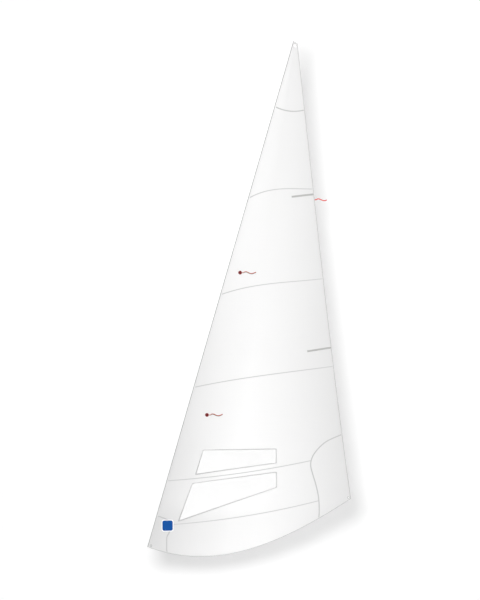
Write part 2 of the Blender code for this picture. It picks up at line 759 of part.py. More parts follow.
def make_battens():
    for name, frame in BATTENS.items():
        end, out, side, length = frame
        inner = length + BATTEN_END_PLAY
        rim = np.array(
            [end - out * a + side * b for a in (0, inner / 2, inner) for b in (-POCKET_HALF, POCKET_HALF)]
        )
        cloth = layers_under(rim)[0]
        seat = front_of(cloth)
        roof = seat - BATTEN_PLAY - BATTEN_THICKNESS - BATTEN_PLAY
        bands = [POCKET_CHANNEL, POCKET_CHANNEL + CLOTH, POCKET_HALF]
        reach = [inner, inner + CLOTH, inner + CLOTH + POCKET_FLANGE]
        far = reach[-1] + MARGIN
        cuts = [points_of(leech_line(EDGE_INSET))]
        for band in bands:
            cuts += [strip_line(frame, band, far), strip_line(frame, -band, far)]
        for stop in reach:
            cuts.append(np.array([end - out * stop - side * MARGIN, end - out * stop + side * MARGIN]))

        def band_of(limit, x, z, frame=frame, bands=bands, reach=reach):
            on_sail = past(leech_line(EDGE_INSET), x, z) < 0
            return (
                (np.abs(across(frame, x, z)) < bands[limit])
                & (inwards(frame, x, z) < reach[limit])
                & on_sail
            )

        zones = [
            (lambda x, z, f=band_of: f(0, x, z), [(roof - CLOTH, roof)]),
            (lambda x, z, f=band_of: f(1, x, z), [(roof - CLOTH, seat - GAP)]),
            (lambda x, z, f=band_of: f(2, x, z), [(seat - GAP - CLOTH, seat - GAP)]),
        ]
        plate(f"batten_pocket_{name}", cuts, zones, POCKET_LOOK)

        # The batten is a straight bar that lies along the cloth under its pocket
        ends = [end - out * length, end - out * GAP]
        depth = [float(depth_at(*p)[0]) for p in ends]
        middle = end - out * length / 2
        high, low = middle + side * BATTEN_WIDTH / 2, middle - side * BATTEN_WIDTH / 2
        tilt = float(depth_at(*high)[0] - depth_at(*low)[0])
        corners = []
        for p, y in zip(ends, depth):
            for v in (-0.5, 0.5):
                q = p + side * v * BATTEN_WIDTH
                lean = tilt * v
                for h in (seat - BATTEN_PLAY - BATTEN_THICKNESS, seat - BATTEN_PLAY):
                    corners.append((q[0], y + lean + h, q[1]))
        faces = [(0, 2, 3, 1), (4, 5, 7, 6), (0, 1, 5, 4), (2, 6, 7, 3), (0, 4, 6, 2), (1, 3, 7, 5)]
        made = add_object(f"batten_{name}", corners, faces, BATTEN_LOOK, origin=corners[0])
        axis = np.array(corners[4]) - np.array(corners[0])
        print("slide", name, (axis / np.linalg.norm(axis)).round(6).tolist(), "from", made.location)


def nose_half(outer):
    """Half height of the luff sleeve over the middle of the stack, inside or outside its skin."""
    skin = CLOTH if outer else 0.0
    tall = WIRE_RADIUS + GAP + skin
    leg = STACK_HALF - (0.0 if outer else CLOTH)
    first = NOSE_FRONT_HALF + skin
    at = [0.0 if outer else CLOTH, NOSE_STARTS, NOSE_ENDS, NOSE]
    return at, [first, tall, tall, leg]


def nose_surface(outer, side):
    at, half = nose_half(outer)

    def height(x, z):
        aft = (x - luff_x(z)) * LUFF_COS
        return STACK_MIDDLE + side * np.interp(aft, at, half)

    return height


def make_tapes():
    skin_near, skin_far = nose_surface(True, -1), nose_surface(True, 1)
    hollow_near, hollow_far = nose_surface(False, -1), nose_surface(False, 1)
    offsets = (0.0, CLOTH, NOSE_STARTS, NOSE_ENDS, NOSE, LUFF_LEG)
    cuts = [points_of(luff_line(d)) for d in offsets]
    cuts += [points_of(foot_line(0.0)), points_of(head_line(0.0))]

    def on_luff(start, stop):
        def test(x, z):
            return (
                (past(luff_line(start), x, z) > 0)
                & (past(luff_line(stop), x, z) < 0)
                & (past(foot_line(0.0), x, z) > 0)
                & (past(head_line(0.0), x, z) < 0)
            )

        return test

    zones = [
        (on_luff(0.0, CLOTH), [(skin_near, skin_far)]),
        (on_luff(CLOTH, LUFF_LEG), [(skin_near, hollow_near), (hollow_far, skin_far)]),
    ]
    plate("luff_sleeve", cuts, zones, TAPE_LOOK)

    legs = [(front_of(FRONT_TAPE), back_of(FRONT_TAPE)), (front_of(REAR_TAPE), back_of(REAR_TAPE))]
    fold = [(front_of(FRONT_TAPE), back_of(REAR_TAPE))]

    pocket_room = POCKET_HALF + GAP
    spans = {
        "leech_tape_upper": lambda x, z: across(BATTENS["upper"], x, z) > pocket_room,
        "leech_tape_middle": lambda x, z: (
            (across(BATTENS["upper"], x, z) < -pocket_room)
            & (across(BATTENS["lower"], x, z) > pocket_room)
        ),
        "leech_tape_lower": lambda x, z: across(BATTENS["lower"], x, z) < -pocket_room,
    }
    stops = [
        strip_line(frame, side * pocket_room, LEECH_LEG + MARGIN)
        for frame in BATTENS.values()
        for side in (-1, 1)
    ]
    for name, stretch in spans.items():

        def on_leech(start, stop, stretch=stretch):
            def test(x, z):
                return (
                    (past(leech_line(start), x, z) < 0)
                    & (past(leech_line(stop), x, z) > 0)
                    & (past(luff_line(LUFF_LEG + GAP), x, z) > 0)
                    & (past(foot_line(0.0), x, z) > 0)
                    & (past(head_line(0.0), x, z) < 0)
                    & stretch(x, z)
                )

            return test

        cuts = [points_of(leech_line(e)) for e in (0.0, CLOTH, LEECH_LEG)] + stops
        cuts += [points_of(foot_line(0.0)), points_of(head_line(0.0))]
        cuts += [points_of(luff_line(LUFF_LEG + GAP))]
        plate(name, cuts, [(on_leech(0.0, CLOTH), fold), (on_leech(CLOTH, LEECH_LEG), legs)], TAPE_LOOK)

    def on_foot(start, stop):
        def test(x, z):
            return (
                (past(foot_line(start), x, z) > 0)
                & (past(foot_line(stop), x, z) < 0)
                & (past(luff_line(LUFF_LEG + GAP), x, z) > 0)
                & (past(leech_line(LEECH_LEG + GAP), x, z) < 0)
            )

        return test

    cuts = [points_of(foot_line(f)) for f in (0.0, CLOTH, FOOT_LEG)]
    cuts += [points_of(luff_line(LUFF_LEG + GAP)), points_of(leech_line(LEECH_LEG + GAP))]
    plate("foot_tape", cuts, [(on_foot(0.0, CLOTH), fold), (on_foot(CLOTH, FOOT_LEG), legs)], TAPE_LOOK)


def make_wire():
    """The wire in the luff sleeve: a straight round bar beside the luff."""
    along = np.array([LUFF_SLOPE * LUFF_COS, 0.0, LUFF_COS])
    aft = np.array([LUFF_COS, 0.0, -LUFF_SLOPE * LUFF_COS])
    length = math.hypot(HEAD_RAKE, HEAD_HEIGHT)
    centre = aft * WIRE_CENTRE + np.array([0.0, STACK_MIDDLE, 0.0])
    corners = []
    for distance in (WIRE_END_SETBACK, length - WIRE_END_SETBACK):
        for i in range(8):
            angle = (i + 0.5) * math.pi / 4
            spoke = aft * math.cos(angle) + np.array([0.0, 1.0, 0.0]) * math.sin(angle)
            corners.append(centre + along * distance + spoke * WIRE_RADIUS)
    faces = [tuple(range(7, -1, -1)), tuple(range(8, 16))]
    faces += [(i, (i + 1) % 8, 8 + (i + 1) % 8, 8 + i) for i in range(8)]
    add_object("luff_wire", corners, faces, WIRE_LOOK)


def turned(name, profile, centre, normal, looks):
    """A closed profile of radius and distance along the normal, turned round the normal."""
    normal = Vector(normal).normalized()
    across_it = Vector((1, 0, 0)).cross(normal).normalized()
    other = normal.cross(across_it)
    corners, faces = [], []
    count = len(profile)
    for i in range(RING_SIDES):
        angle = 2 * math.pi * i / RING_SIDES
        spoke = across_it * math.cos(angle) + other * math.sin(angle)
        for radius, along in profile:
            corners.append(tuple(Vector(centre) + spoke * radius + normal * along))
    for i in range(RING_SIDES):
        a, b = i * count, (i + 1) % RING_SIDES * count
        for j in range(count):
            k = (j + 1) % count
            faces.append((a + j, a + k, b + k, b + j))
    return add_object(name, corners, faces, looks)


def make_rings():
    for corner, (x, z) in RING_CENTRES.items():
        along, up = slopes(x, z)
        towards_port = Vector((along, -1, up)).normalized()
        lean = -towards_port.y
        centre = (x, float(belly(x, z)), z)
        port_face = -front_of(-1) * lean + GAP
        rear_face = -back_of(rear_patch_layer(corner)) * lean - GAP
        barrel = RING_BORE + RING_BARREL_WALL
        washer_back = rear_face - RING_FLANGE
        lip_front = washer_back - GAP
        lip_back = lip_front - RING_FLANGE
        ring = [
            (RING_BORE, lip_back),
            (RING_BORE, port_face + RING_FLANGE),
            (RING_RADIUS, port_face + RING_FLANGE),
            (RING_RADIUS, port_face),
            (barrel, port_face),
            (barrel, lip_front),
            (barrel + RING_LIP, lip_front),
            (barrel + RING_LIP, lip_back),
        ]
        turned(f"{corner}_ring", ring, centre, towards_port, METAL_LOOK)
        washer = [
            (barrel + GAP, washer_back),
            (barrel + GAP, rear_face),
            (RING_RADIUS, rear_face),
            (RING_RADIUS, washer_back),
        ]
        turned(f"{corner}_washer", washer, centre, towards_port, METAL_LOOK)
        spoke = Vector((1, 0, 0)).cross(towards_port).normalized()
        face = Vector(centre) + towards_port * (port_face + RING_FLANGE)
        spot = face + spoke * (barrel + RING_RADIUS) / 2
        print("mount", corner, [round(v, 6) for v in spot], [round(v, 6) for v in towards_port])


def ribbon(name, pivot, along, up, outwards, length, stand_off, looks):
    """A waved strip with a round root at its pivot, off the cloth by stand_off at each reach."""
    half = RIBBON_WIDTH / 2
    u = np.linspace(0, length, RIBBON_STEPS + 1)
    centre = np.column_stack([u, RIBBON_WAVE * np.sin(2 * math.pi * u / RIBBON_WAVE_LENGTH)])
    tangent = np.gradient(centre, u, axis=0)
    tangent /= np.linalg.norm(tangent, axis=1)[:, None]
    side = np.column_stack([-tangent[:, 1], tangent[:, 0]]) * half
    left, right = centre + side, centre - side
    lean = math.atan2(tangent[0, 1], tangent[0, 0]) + math.pi / 2
    root = [
        (half * math.cos(lean + turn), half * math.sin(lean + turn))
        for turn in (math.pi / 4, math.pi / 2, 3 * math.pi / 4)
    ]
    rim = np.vstack([right, left[::-1], root])
    count = len(rim)
    lift = np.interp(np.hypot(rim[:, 0], rim[:, 1]), *stand_off)
    corners = []
    for face in (0.0, RIBBON_THICKNESS):
        for (a, b), h in zip(rim, lift + face):
            spot = Vector(pivot) + Vector(along) * a + Vector(up) * b + Vector(outwards) * h
            corners.append(tuple(spot))
    last = 2 * RIBBON_STEPS + 1
    top = [(i, i + 1, last - 1 - i, last - i) for i in range(RIBBON_STEPS)]
    top.append((0, last, last + 1, last + 2, last + 3))
    pairs = [(i, (i + 1) % count) for i in range(count)]
    if Vector(along).cross(Vector(up)).dot(Vector(outwards)) < 0:
        top = [f[::-1] for f in top]
        pairs = [(b, a) for a, b in pairs]
    faces = [tuple(c + count for c in f) for f in top] + [f[::-1] for f in top]
    faces += [(a, b, b + count, a + count) for a, b in pairs]
    add_object(name, corners, faces, looks, origin=pivot)
    print("hinge", name, [round(v, 6) for v in pivot], [round(v, 6) for v in outwards])


def swing_room(pivot, along, up, outwards, port, length):
    """How far off its pivot plane a ribbon lies at each reach, to clear the cloth as it swings."""
    reaches = np.linspace(0, length + RIBBON_WIDTH, 25)
    needs = []
    for reach in reaches:
        widest = 180 if reach < RIBBON_WIDTH else RIBBON_SWING_DEG
        turns = np.radians(np.linspace(-widest, widest, 25))
        spread = RIBBON_WIDTH / 2 + min(RIBBON_WAVE, reach * 0.4)
        turn, off = (v.ravel() for v in np.meshgrid(turns, np.linspace(-spread, spread, 5)))
        a = reach * np.cos(turn) - off * np.sin(turn)
        b = reach * np.sin(turn) + off * np.cos(turn)
        plane = np.array(pivot) + np.outer(a, along) + np.outer(b, up)
        height = np.zeros(len(a))
        for _ in range(5):
            at = plane + np.outer(height, outwards)
            cloth = depth_at(at[:, 0], at[:, 2]) + skin_at(at[:, 0], at[:, 2], port)
            height += (cloth - at[:, 1]) / outwards[1]
        needs.append(float(height.max()) + RIBBON_LIFT)
    return reaches, np.maximum.accumulate(np.maximum(needs, RIBBON_LIFT))


def local_frame(x, z, port):
    """Unit vectors aft and up along the faceted cloth, and off it on one side."""
    step = RIBBON_WIDTH / 2
    ends = depth_at([x - step, x + step, x, x], [z, z, z - step, z + step])
    slope_x, slope_z = float(ends[1] - ends[0]) / (2 * step), float(ends[3] - ends[2]) / (2 * step)
    off = Vector((slope_x, -1, slope_z)).normalized()
    aft = Vector((1, slope_x, 0)).normalized()
    up = aft.cross(off).normalized()
    up = up if up.z > 0 else -up
    return aft, up, off if port else -off


def make_telltales():
    places = {
        "upper": (UPPER_TELLTALE_HEIGHT, UPPER_TELLTALE_AFT),
        "lower": (LOWER_TELLTALE_HEIGHT, LOWER_TELLTALE_AFT),
    }
    for place, (z, aft_of_luff) in places.items():
        centre = np.array([float(luff_x(z)) + aft_of_luff, z])
        disc = ring_of(centre, DOT_DIAMETER / 2, DOT_SIDES)
        nearest, furthest = layers_under(disc)
        for port in (True, False):
            side = "port" if port else "starboard"
            looks = RED_LOOK if port else GREEN_LOOK
            layer = nearest - 1 if port else furthest + 1

            def kept(x, z, disc=disc):
                return inside(disc, x, z)

            plate(f"telltale_dot_{place}_{side}", [closed(disc)], [(kept, whole(layer))], looks)
            root_x = centre[0] + DOT_DIAMETER / 2 + RIBBON_WIDTH / 2 + GAP
            skin = float(skin_at(root_x, z, port))
            pivot = Vector((root_x, float(depth_at(root_x, z)[0]) + skin, z))
            aft, up, off = local_frame(root_x, z, port)
            room = swing_room(pivot, aft, up, off, port, RIBBON_LENGTH)
            name = f"telltale_{place}_{side}"
            ribbon(name, pivot, aft, up, off, RIBBON_LENGTH, room, looks)
    z = LEECH_TELLTALE_HEIGHT
    root_x = float(np.interp(z, ROWS, leech_x(ROWS))) + RIBBON_WIDTH / 2 + GAP
    aft, up, off = local_frame(root_x - RIBBON_WIDTH * 2, z, False)
    pivot = Vector((root_x, float(depth_at(root_x, z)[0]) + STACK_MIDDLE, z))
    flat = ([0, 1], [0, 0])
    ribbon("telltale_leech", pivot, aft, up, off, LEECH_RIBBON_LENGTH, flat, RED_LOOK)


def make_label():
    """A plain square patch with round corners."""
    half = LABEL_SIZE / 2 - LABEL_CORNER
    outline = []
    for quarter in range(4):
        turn = quarter * math.pi / 2
        sign_x = 1 if quarter in (0, 3) else -1
        sign_z = 1 if quarter in (0, 1) else -1
        for step in range(4):
            angle = turn + step * math.pi / 6
            outline.append(
                (
                    LABEL_AFT + sign_x * half + LABEL_CORNER * math.cos(angle),
                    LABEL_HEIGHT + sign_z * half + LABEL_CORNER * math.sin(angle),
                )
            )
    outline = np.array(outline)

    def kept(x, z):
        return inside(outline, x, z)

    plate("tack_label", [closed(outline)], [(kept, whole(-2))], LABEL_LOOK)


def main():
    for thing in list(bpy.data.objects):
        bpy.data.objects.remove(thing)
    make_panels()
    make_patches()
    make_windows()
    make_battens()
    make_tapes()
    make_wire()
    make_rings()
    make_telltales()
    make_label()


main()
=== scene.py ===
"""A dinghy jib as it is sewn: cloth panels, corner patches, tapes, clear windows, battens and telltales.

Metres, in the frame's own axes. The tack corner is the origin, the luff rakes aft along +X, the
sail is seen from its port side by looking along +Y, and its belly lies on the +Y side.
"""

import json
import math

import bpy
import numpy as np
from bpy.props import FloatProperty, FloatVectorProperty, PointerProperty
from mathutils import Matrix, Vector


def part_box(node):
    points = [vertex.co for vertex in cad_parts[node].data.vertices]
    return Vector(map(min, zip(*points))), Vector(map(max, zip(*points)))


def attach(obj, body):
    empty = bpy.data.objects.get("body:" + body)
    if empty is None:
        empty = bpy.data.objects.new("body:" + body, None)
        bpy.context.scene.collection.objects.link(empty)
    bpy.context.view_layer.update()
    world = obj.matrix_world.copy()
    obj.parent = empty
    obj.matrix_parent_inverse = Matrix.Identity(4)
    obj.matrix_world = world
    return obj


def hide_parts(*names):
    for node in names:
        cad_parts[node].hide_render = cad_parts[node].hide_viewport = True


bl_info = {
    "name": "Dinghy Jib",
    "version": (1, 0, 0),
    "blender": (4, 5, 0),
    "location": "View3D > Sidebar > Jib",
    "description": "Sews a dinghy jib round its packed frame and sets it in a plain studio",
    "category": "Object",
}

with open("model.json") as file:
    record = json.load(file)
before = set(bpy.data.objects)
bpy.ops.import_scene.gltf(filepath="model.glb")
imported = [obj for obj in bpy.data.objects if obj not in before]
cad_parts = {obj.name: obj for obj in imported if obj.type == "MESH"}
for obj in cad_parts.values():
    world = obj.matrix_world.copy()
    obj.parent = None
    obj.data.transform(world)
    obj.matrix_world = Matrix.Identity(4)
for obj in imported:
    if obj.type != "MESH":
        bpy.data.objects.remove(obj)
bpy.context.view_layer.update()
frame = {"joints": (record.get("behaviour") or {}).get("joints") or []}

JOINTS = {joint["name"]: joint for joint in frame["joints"]}
FULL_TURN = 2 * math.pi
SHARP_EDGE = math.radians(38)
PATH_SAMPLES = 600

# Heights of the five panel seams at the luff and the leech, their bows and how much lies forward
SEAM_LUFF_HEIGHTS = (0.207, 0.665, 1.589, 2.525, 3.475)
SEAM_LEECH_HEIGHTS = (0.545, 0.945, 1.802, 2.687, 3.575)
SEAM_BOWS = (-0.066, -0.044, 0.0133, 0.032, 0.051)
SEAM_SKEWS = (0.0, -0.002, 0.008, 0.022, 0.026)
PANEL_NAMES = ("foot", "tack", "window", "lower", "upper", "head")
CORNERS = ("tack", "clew", "head")

# Corners of the openings for the clear windows, from the tack end of the lower edge, and their panels
WINDOWS = {
    "upper": ((0.482, 0.722), (1.289, 0.837), (1.289, 0.976), (0.559, 0.964)),
    "lower": ((0.309, 0.252), (1.292, 0.593), (1.292, 0.745), (0.452, 0.630)),
}
WINDOW_PANELS = {"upper": 3, "lower": 2}

# Heights at which the patches' free edges meet the luff and the leech, from their own corner, and
# the bow of the head patch's
HEAD_PATCH_LUFF = 0.658
HEAD_PATCH_LEECH = 0.668
HEAD_PATCH_BOW = -0.029
CLEW_PATCH_LEECH = 0.649
TACK_PATCH_LUFF = 0.309

# The other two free edges: the clew's is measured from the clew, the tack's from the tack
CLEW_PATCH_CURVE = (
    (-0.226, 0.588),
    (-0.303, 0.531),
    (-0.372, 0.450),
    (-0.402, 0.381),
    (-0.406, 0.320),
    (-0.387, 0.244),
    (-0.357, 0.144),
    (-0.334, 0.045),
    (-0.324, -0.039),
    (-0.322, -0.131),
    (-0.326, -0.196),
)
TACK_PATCH_CURVE = (
    (0.123, 0.308),
    (0.150, 0.297),
    (0.181, 0.285),
    (0.247, 0.239),
    (0.222, 0.139),
    (0.210, 0.116),
    (0.200, 0.089),
    (0.198, 0.023),
    (0.200, -0.044),
    (0.217, -0.073),
)

# Height at which each batten meets the leech, its length and its tilt
BATTENS = {"upper": (3.528, 0.220, math.radians(6.6)), "lower": (1.994, 0.240, math.radians(9.0))}

# Layers of the stack, counted away from the port side
FRONT_TAPE_LAYER = -2
REAR_TAPE_LAYER = 3
LABEL_LAYER = -2
DOT_LAYERS = {"port": 0, "starboard": 2}
REAR_PATCH_LAYERS = {"tack": 2, "clew": 2, "head": 1}
WINDOW_LAYERS = {"upper": 2, "lower": 1}

# How far past the wire's middle the nose of the luff sleeve reaches, in diameters of the wire
NOSE_REACH = 0.8

# Room round a corner ring: of the flat that it is pressed on and of the opening in the panel
RING_FLAT_ROOM = 0.003
RING_PANEL_ROOM = 0.004

# Least room along the foot between a patch's free edge and the next point of its outline
PATCH_TIP_ROOM = 0.002

# What the cut width has for the round of the sleeve and of a tape, and for a pocket's raised channel
SLEEVE_TURN = 0.004
TAPE_TURN = 0.002

# How far past its batten a pocket reaches, and the sewn margin at that end
POCKET_SPARE = 0.002
POCKET_MARGIN = 0.0034

# Widths of the zigzags that are narrower than a seam's
WINDOW_STITCH = 0.0044
POCKET_STITCH = 0.0016
TAPE_STITCH = 0.0036

# Distance of the stitches from the edge that they run along
PATCH_STITCH_IN = 0.0042
WINDOW_STITCH_OUT = 0.0045
POCKET_STITCH_IN = 0.0014
TAPE_STITCH_IN = 0.003

# How high a ribbon flutters off its plane, its waves over the length and how much they slant
LUFF_FLUTTER = (0.0009, 2, 0.8)
LEECH_FLUTTER = (0.0015, 1.5, 0.6)

# Each lamp's direction from the sail, its diameter and the name of its power among the settings
LAMPS = {
    "key_lamp": ((-0.16, -1.0, 0.16), 4.8, "key"),
    "fill_lamp": ((0.8, -0.6, 0.1), 9.0, "fill"),
    "back_lamp": ((-0.3, 0.9, 0.35), 7.0, "back"),
}
LAMP_DISTANCE = 12.0

# The materials of the looks once they are made
LOOKS = {}


def length(name, default, description):
    return FloatProperty(name=name, description=description, default=default, unit="LENGTH", precision=4)


def degrees(name, default, description):
    return FloatProperty(
        name=name, description=description, default=math.radians(default), subtype="ANGLE", unit="ROTATION"
    )


def share(name, default, description):
    return FloatProperty(name=name, description=description, default=default, min=0, max=1)


def strength(name, default, description):
    return FloatProperty(name=name, description=description, default=default)


def colour(name, default, description):
    return FloatVectorProperty(
        name=name, description=description, default=default, size=3, subtype="COLOR", min=0, max=1
    )


class JIB_PG_cut(bpy.types.PropertyGroup):
    """Outline and belly of the sail"""

    head_rake: length("Head rake", 1.460, "How far the head lies aft of the tack")
    head_height: length("Head height", 5.058, "Height of the head over the tack")
    head_width: length("Head width", 0.048, "Length of the cut edge at the head")
    head_angle: degrees("Head angle", 31.0, "Slope of the cut edge at the head")
    clew_aft: length("Clew aft", 2.036, "How far the clew lies aft of the tack")
    clew_height: length("Clew height", 0.482, "Height of the clew over the tack")
    leech_hollow: length("Leech hollow", 0.016, "How far the leech curves in from a straight line")
    leech_skew: length("Leech skew", 0.010, "How much more of the hollow lies low down")
    foot_round: length("Foot round", 0.270, "How far the foot bows down")
    foot_skew: length("Foot skew", 0.055, "How much more of the bow lies towards the tack")
    camber_mid: share("Camber", 0.090, "Depth of the belly as a share of the chord where it is fullest")
    camber_ends: share("Camber at the ends", 0.065, "Depth of the belly one reach away from that chord")
    fullest_height: length("Fullest height", 2.4, "Height of the fullest chord")
    camber_reach: length("Camber reach", 2.9, "How far from the fullest chord the end camber is met")
    straight_from: share("Straight from", 0.65, "Share of the chord aft of which the section is straight")
    twist: degrees("Twist", 5.0, "How much the head is turned away from the clew")


class JIB_PG_sewing(bpy.types.PropertyGroup):
    """Cloth, tapes, laps and thread"""

    cloth: length("Cloth", 0.0004, "Thickness of the cloth")
    gap: length("Gap", 0.0003, "Room between two layers of cloth")
    lap: length("Lap", 0.010, "Width of the lap at a panel seam and round a window")
    luff_leg: length("Luff leg", 0.018, "Width of the luff sleeve")
    edge_leg: length("Edge leg", 0.010, "Width of the leech and foot tapes")
    wire: length("Wire", 0.004, "Diameter of the luff wire")
    wire_setback: length("Wire setback", 0.006, "How far each wire end lies inside the sleeve")
    stitch_width: length("Stitch width", 0.0052, "Width of the zigzag")
    stitch_step: length("Stitch step", 0.0034, "Distance along the seam between two needle holes")
    thread: length("Thread", 0.0007, "Width of the sewing thread")
    cells: length("Cell", 0.020, "Side of one mesh cell of the cloth")


class JIB_PG_fittings(bpy.types.PropertyGroup):
    """Rings, battens, telltales and label"""

    ring_radius: length("Ring radius", 0.011, "Outer radius of a corner ring")
    ring_bore: length("Ring bore", 0.0055, "Radius of the hole in a corner ring")
    ring_wall: length("Ring wall", 0.001, "Wall of a ring's barrel and thickness of its flange")
    ring_lip: length("Ring lip", 0.002, "How far the rolled lip holds over the washer")
    ring_room: length("Ring room", 0.003, "Distance from a ring to the tapes beside it")
    hole_room: length("Hole room", 0.0015, "Room between a ring's barrel and the cloth")
    batten_width: length("Batten width", 0.012, "Width of a batten")
    batten_thickness: length("Batten thickness", 0.002, "Thickness of a batten")
    batten_play: length("Batten play", 0.0005, "Room round a batten in its pocket")
    pocket_flange: length("Pocket flange", 0.003, "Sewn margin of a batten pocket")
    dot_diameter: length("Dot diameter", 0.038, "Diameter of a telltale's fixing dot")
    ribbon_width: length("Ribbon width", 0.010, "Width of a telltale ribbon")
    ribbon_length: length("Ribbon length", 0.136, "Length of a telltale ribbon on the luff")
    ribbon_wave: length("Ribbon wave", 0.009, "How far a ribbon waves to each side")
    ribbon_wave_length: length("Ribbon wave length", 0.122, "Distance between two crests of a ribbon")
    ribbon_thickness: length("Ribbon thickness", 0.0003, "Thickness of a ribbon")
    leech_ribbon: length("Leech ribbon", 0.118, "Length of the telltale ribbon on the leech")
    label_size: length("Label size", 0.118, "Side of the plain label")
    label_corner: length("Label corner", 0.022, "Corner radius of the plain label")
    label_border: length("Label border", 0.007, "Width of the label's white border")


class JIB_PG_finish(bpy.types.PropertyGroup):
    """Colours of the pieces"""

    cloth: colour("Cloth", (0.905, 0.903, 0.902), "Woven polyester of the panels")
    seam: colour("Seam", (0.57, 0.57, 0.57), "Cloth where two layers lap under the stitches")
    patch_rim: colour("Patch rim", (0.50, 0.50, 0.50), "Rim of the corner patches under the stitches")
    # The tapes' grey rim is partly an edge line and partly painted shade of the fold; the same grey is the
    # film's sewn margin
    edge: colour("Edge", (0.35, 0.35, 0.35), "Folded rim of the tapes")
    thread: colour("Thread", (0.52, 0.52, 0.53), "Sewing thread")
    pocket: colour("Pocket", (0.43, 0.43, 0.42), "Batten pocket cloth")
    film: colour("Film", (0.97, 0.97, 0.97), "Clear film of the windows")
    batten: colour("Batten", (0.75, 0.74, 0.62), "Glass fibre of the battens")
    metal: colour("Metal", (0.34, 0.34, 0.335), "Pressed corner rings")
    wire: colour("Wire", (0.70, 0.70, 0.70), "Luff wire")
    red: colour("Red", (0.46, 0.045, 0.03), "Port telltale ribbons")
    red_root: colour("Red root", (0.95, 0.72, 0.66), "What the port ribbons fade to at their dots")
    # The port ribbons' lower edge carries painted shade
    red_lower_shade: colour("Red edge", (0.10, 0.11, 0.06), "Lower edge of the port ribbons")
    leech_red: colour("Leech red", (0.62, 0.012, 0.006), "Telltale ribbon on the leech")
    dark_red: colour("Dark red", (0.125, 0.004, 0.006), "Port telltale dots")
    green: colour("Green", (0.02, 0.28, 0.08), "Starboard telltales")
    green_root: colour("Green root", (0.55, 0.75, 0.6), "What the starboard ribbons fade to at their dots")
    # The starboard ribbons' lower edge carries painted shade
    green_lower_shade: colour("Green edge", (0.01, 0.12, 0.04), "Lower edge of the starboard ribbons")
    label: colour("Label", (0.0, 0.070, 0.300), "Plain label")
    label_rim: colour("Label rim", (0.93, 0.94, 0.95), "Border of the plain label")
    paper: colour("Paper", (0.60, 0.60, 0.60), "Studio floor and backdrop")


class JIB_PG_studio(bpy.types.PropertyGroup):
    """Camera, lamps and paper"""

    middle_aft: length("View centre aft", 0.927, "Where the camera looks, aft of the tack")
    middle_height: length("View centre height", 2.469, "Where the camera looks, over the tack")
    view_height: length("View height", 6.0, "Height of the picture at the sail")
    lens: FloatProperty(name="Lens", description="Focal length", default=400, unit="CAMERA")
    backdrop_room: length("Backdrop room", 0.60, "Distance from the tack back to the backdrop")
    floor_height: length("Floor height", -0.80, "Height of the floor under the tack")
    key: strength("Key", 985, "Strength of the key lamp in watts")
    fill: strength("Fill", 400, "Strength of the lamp on the right in watts")
    back: strength("Back", 820, "Strength of the lamp behind the sail in watts")
    sky: strength("Sky", 0.585, "Strength of the even light from all round")


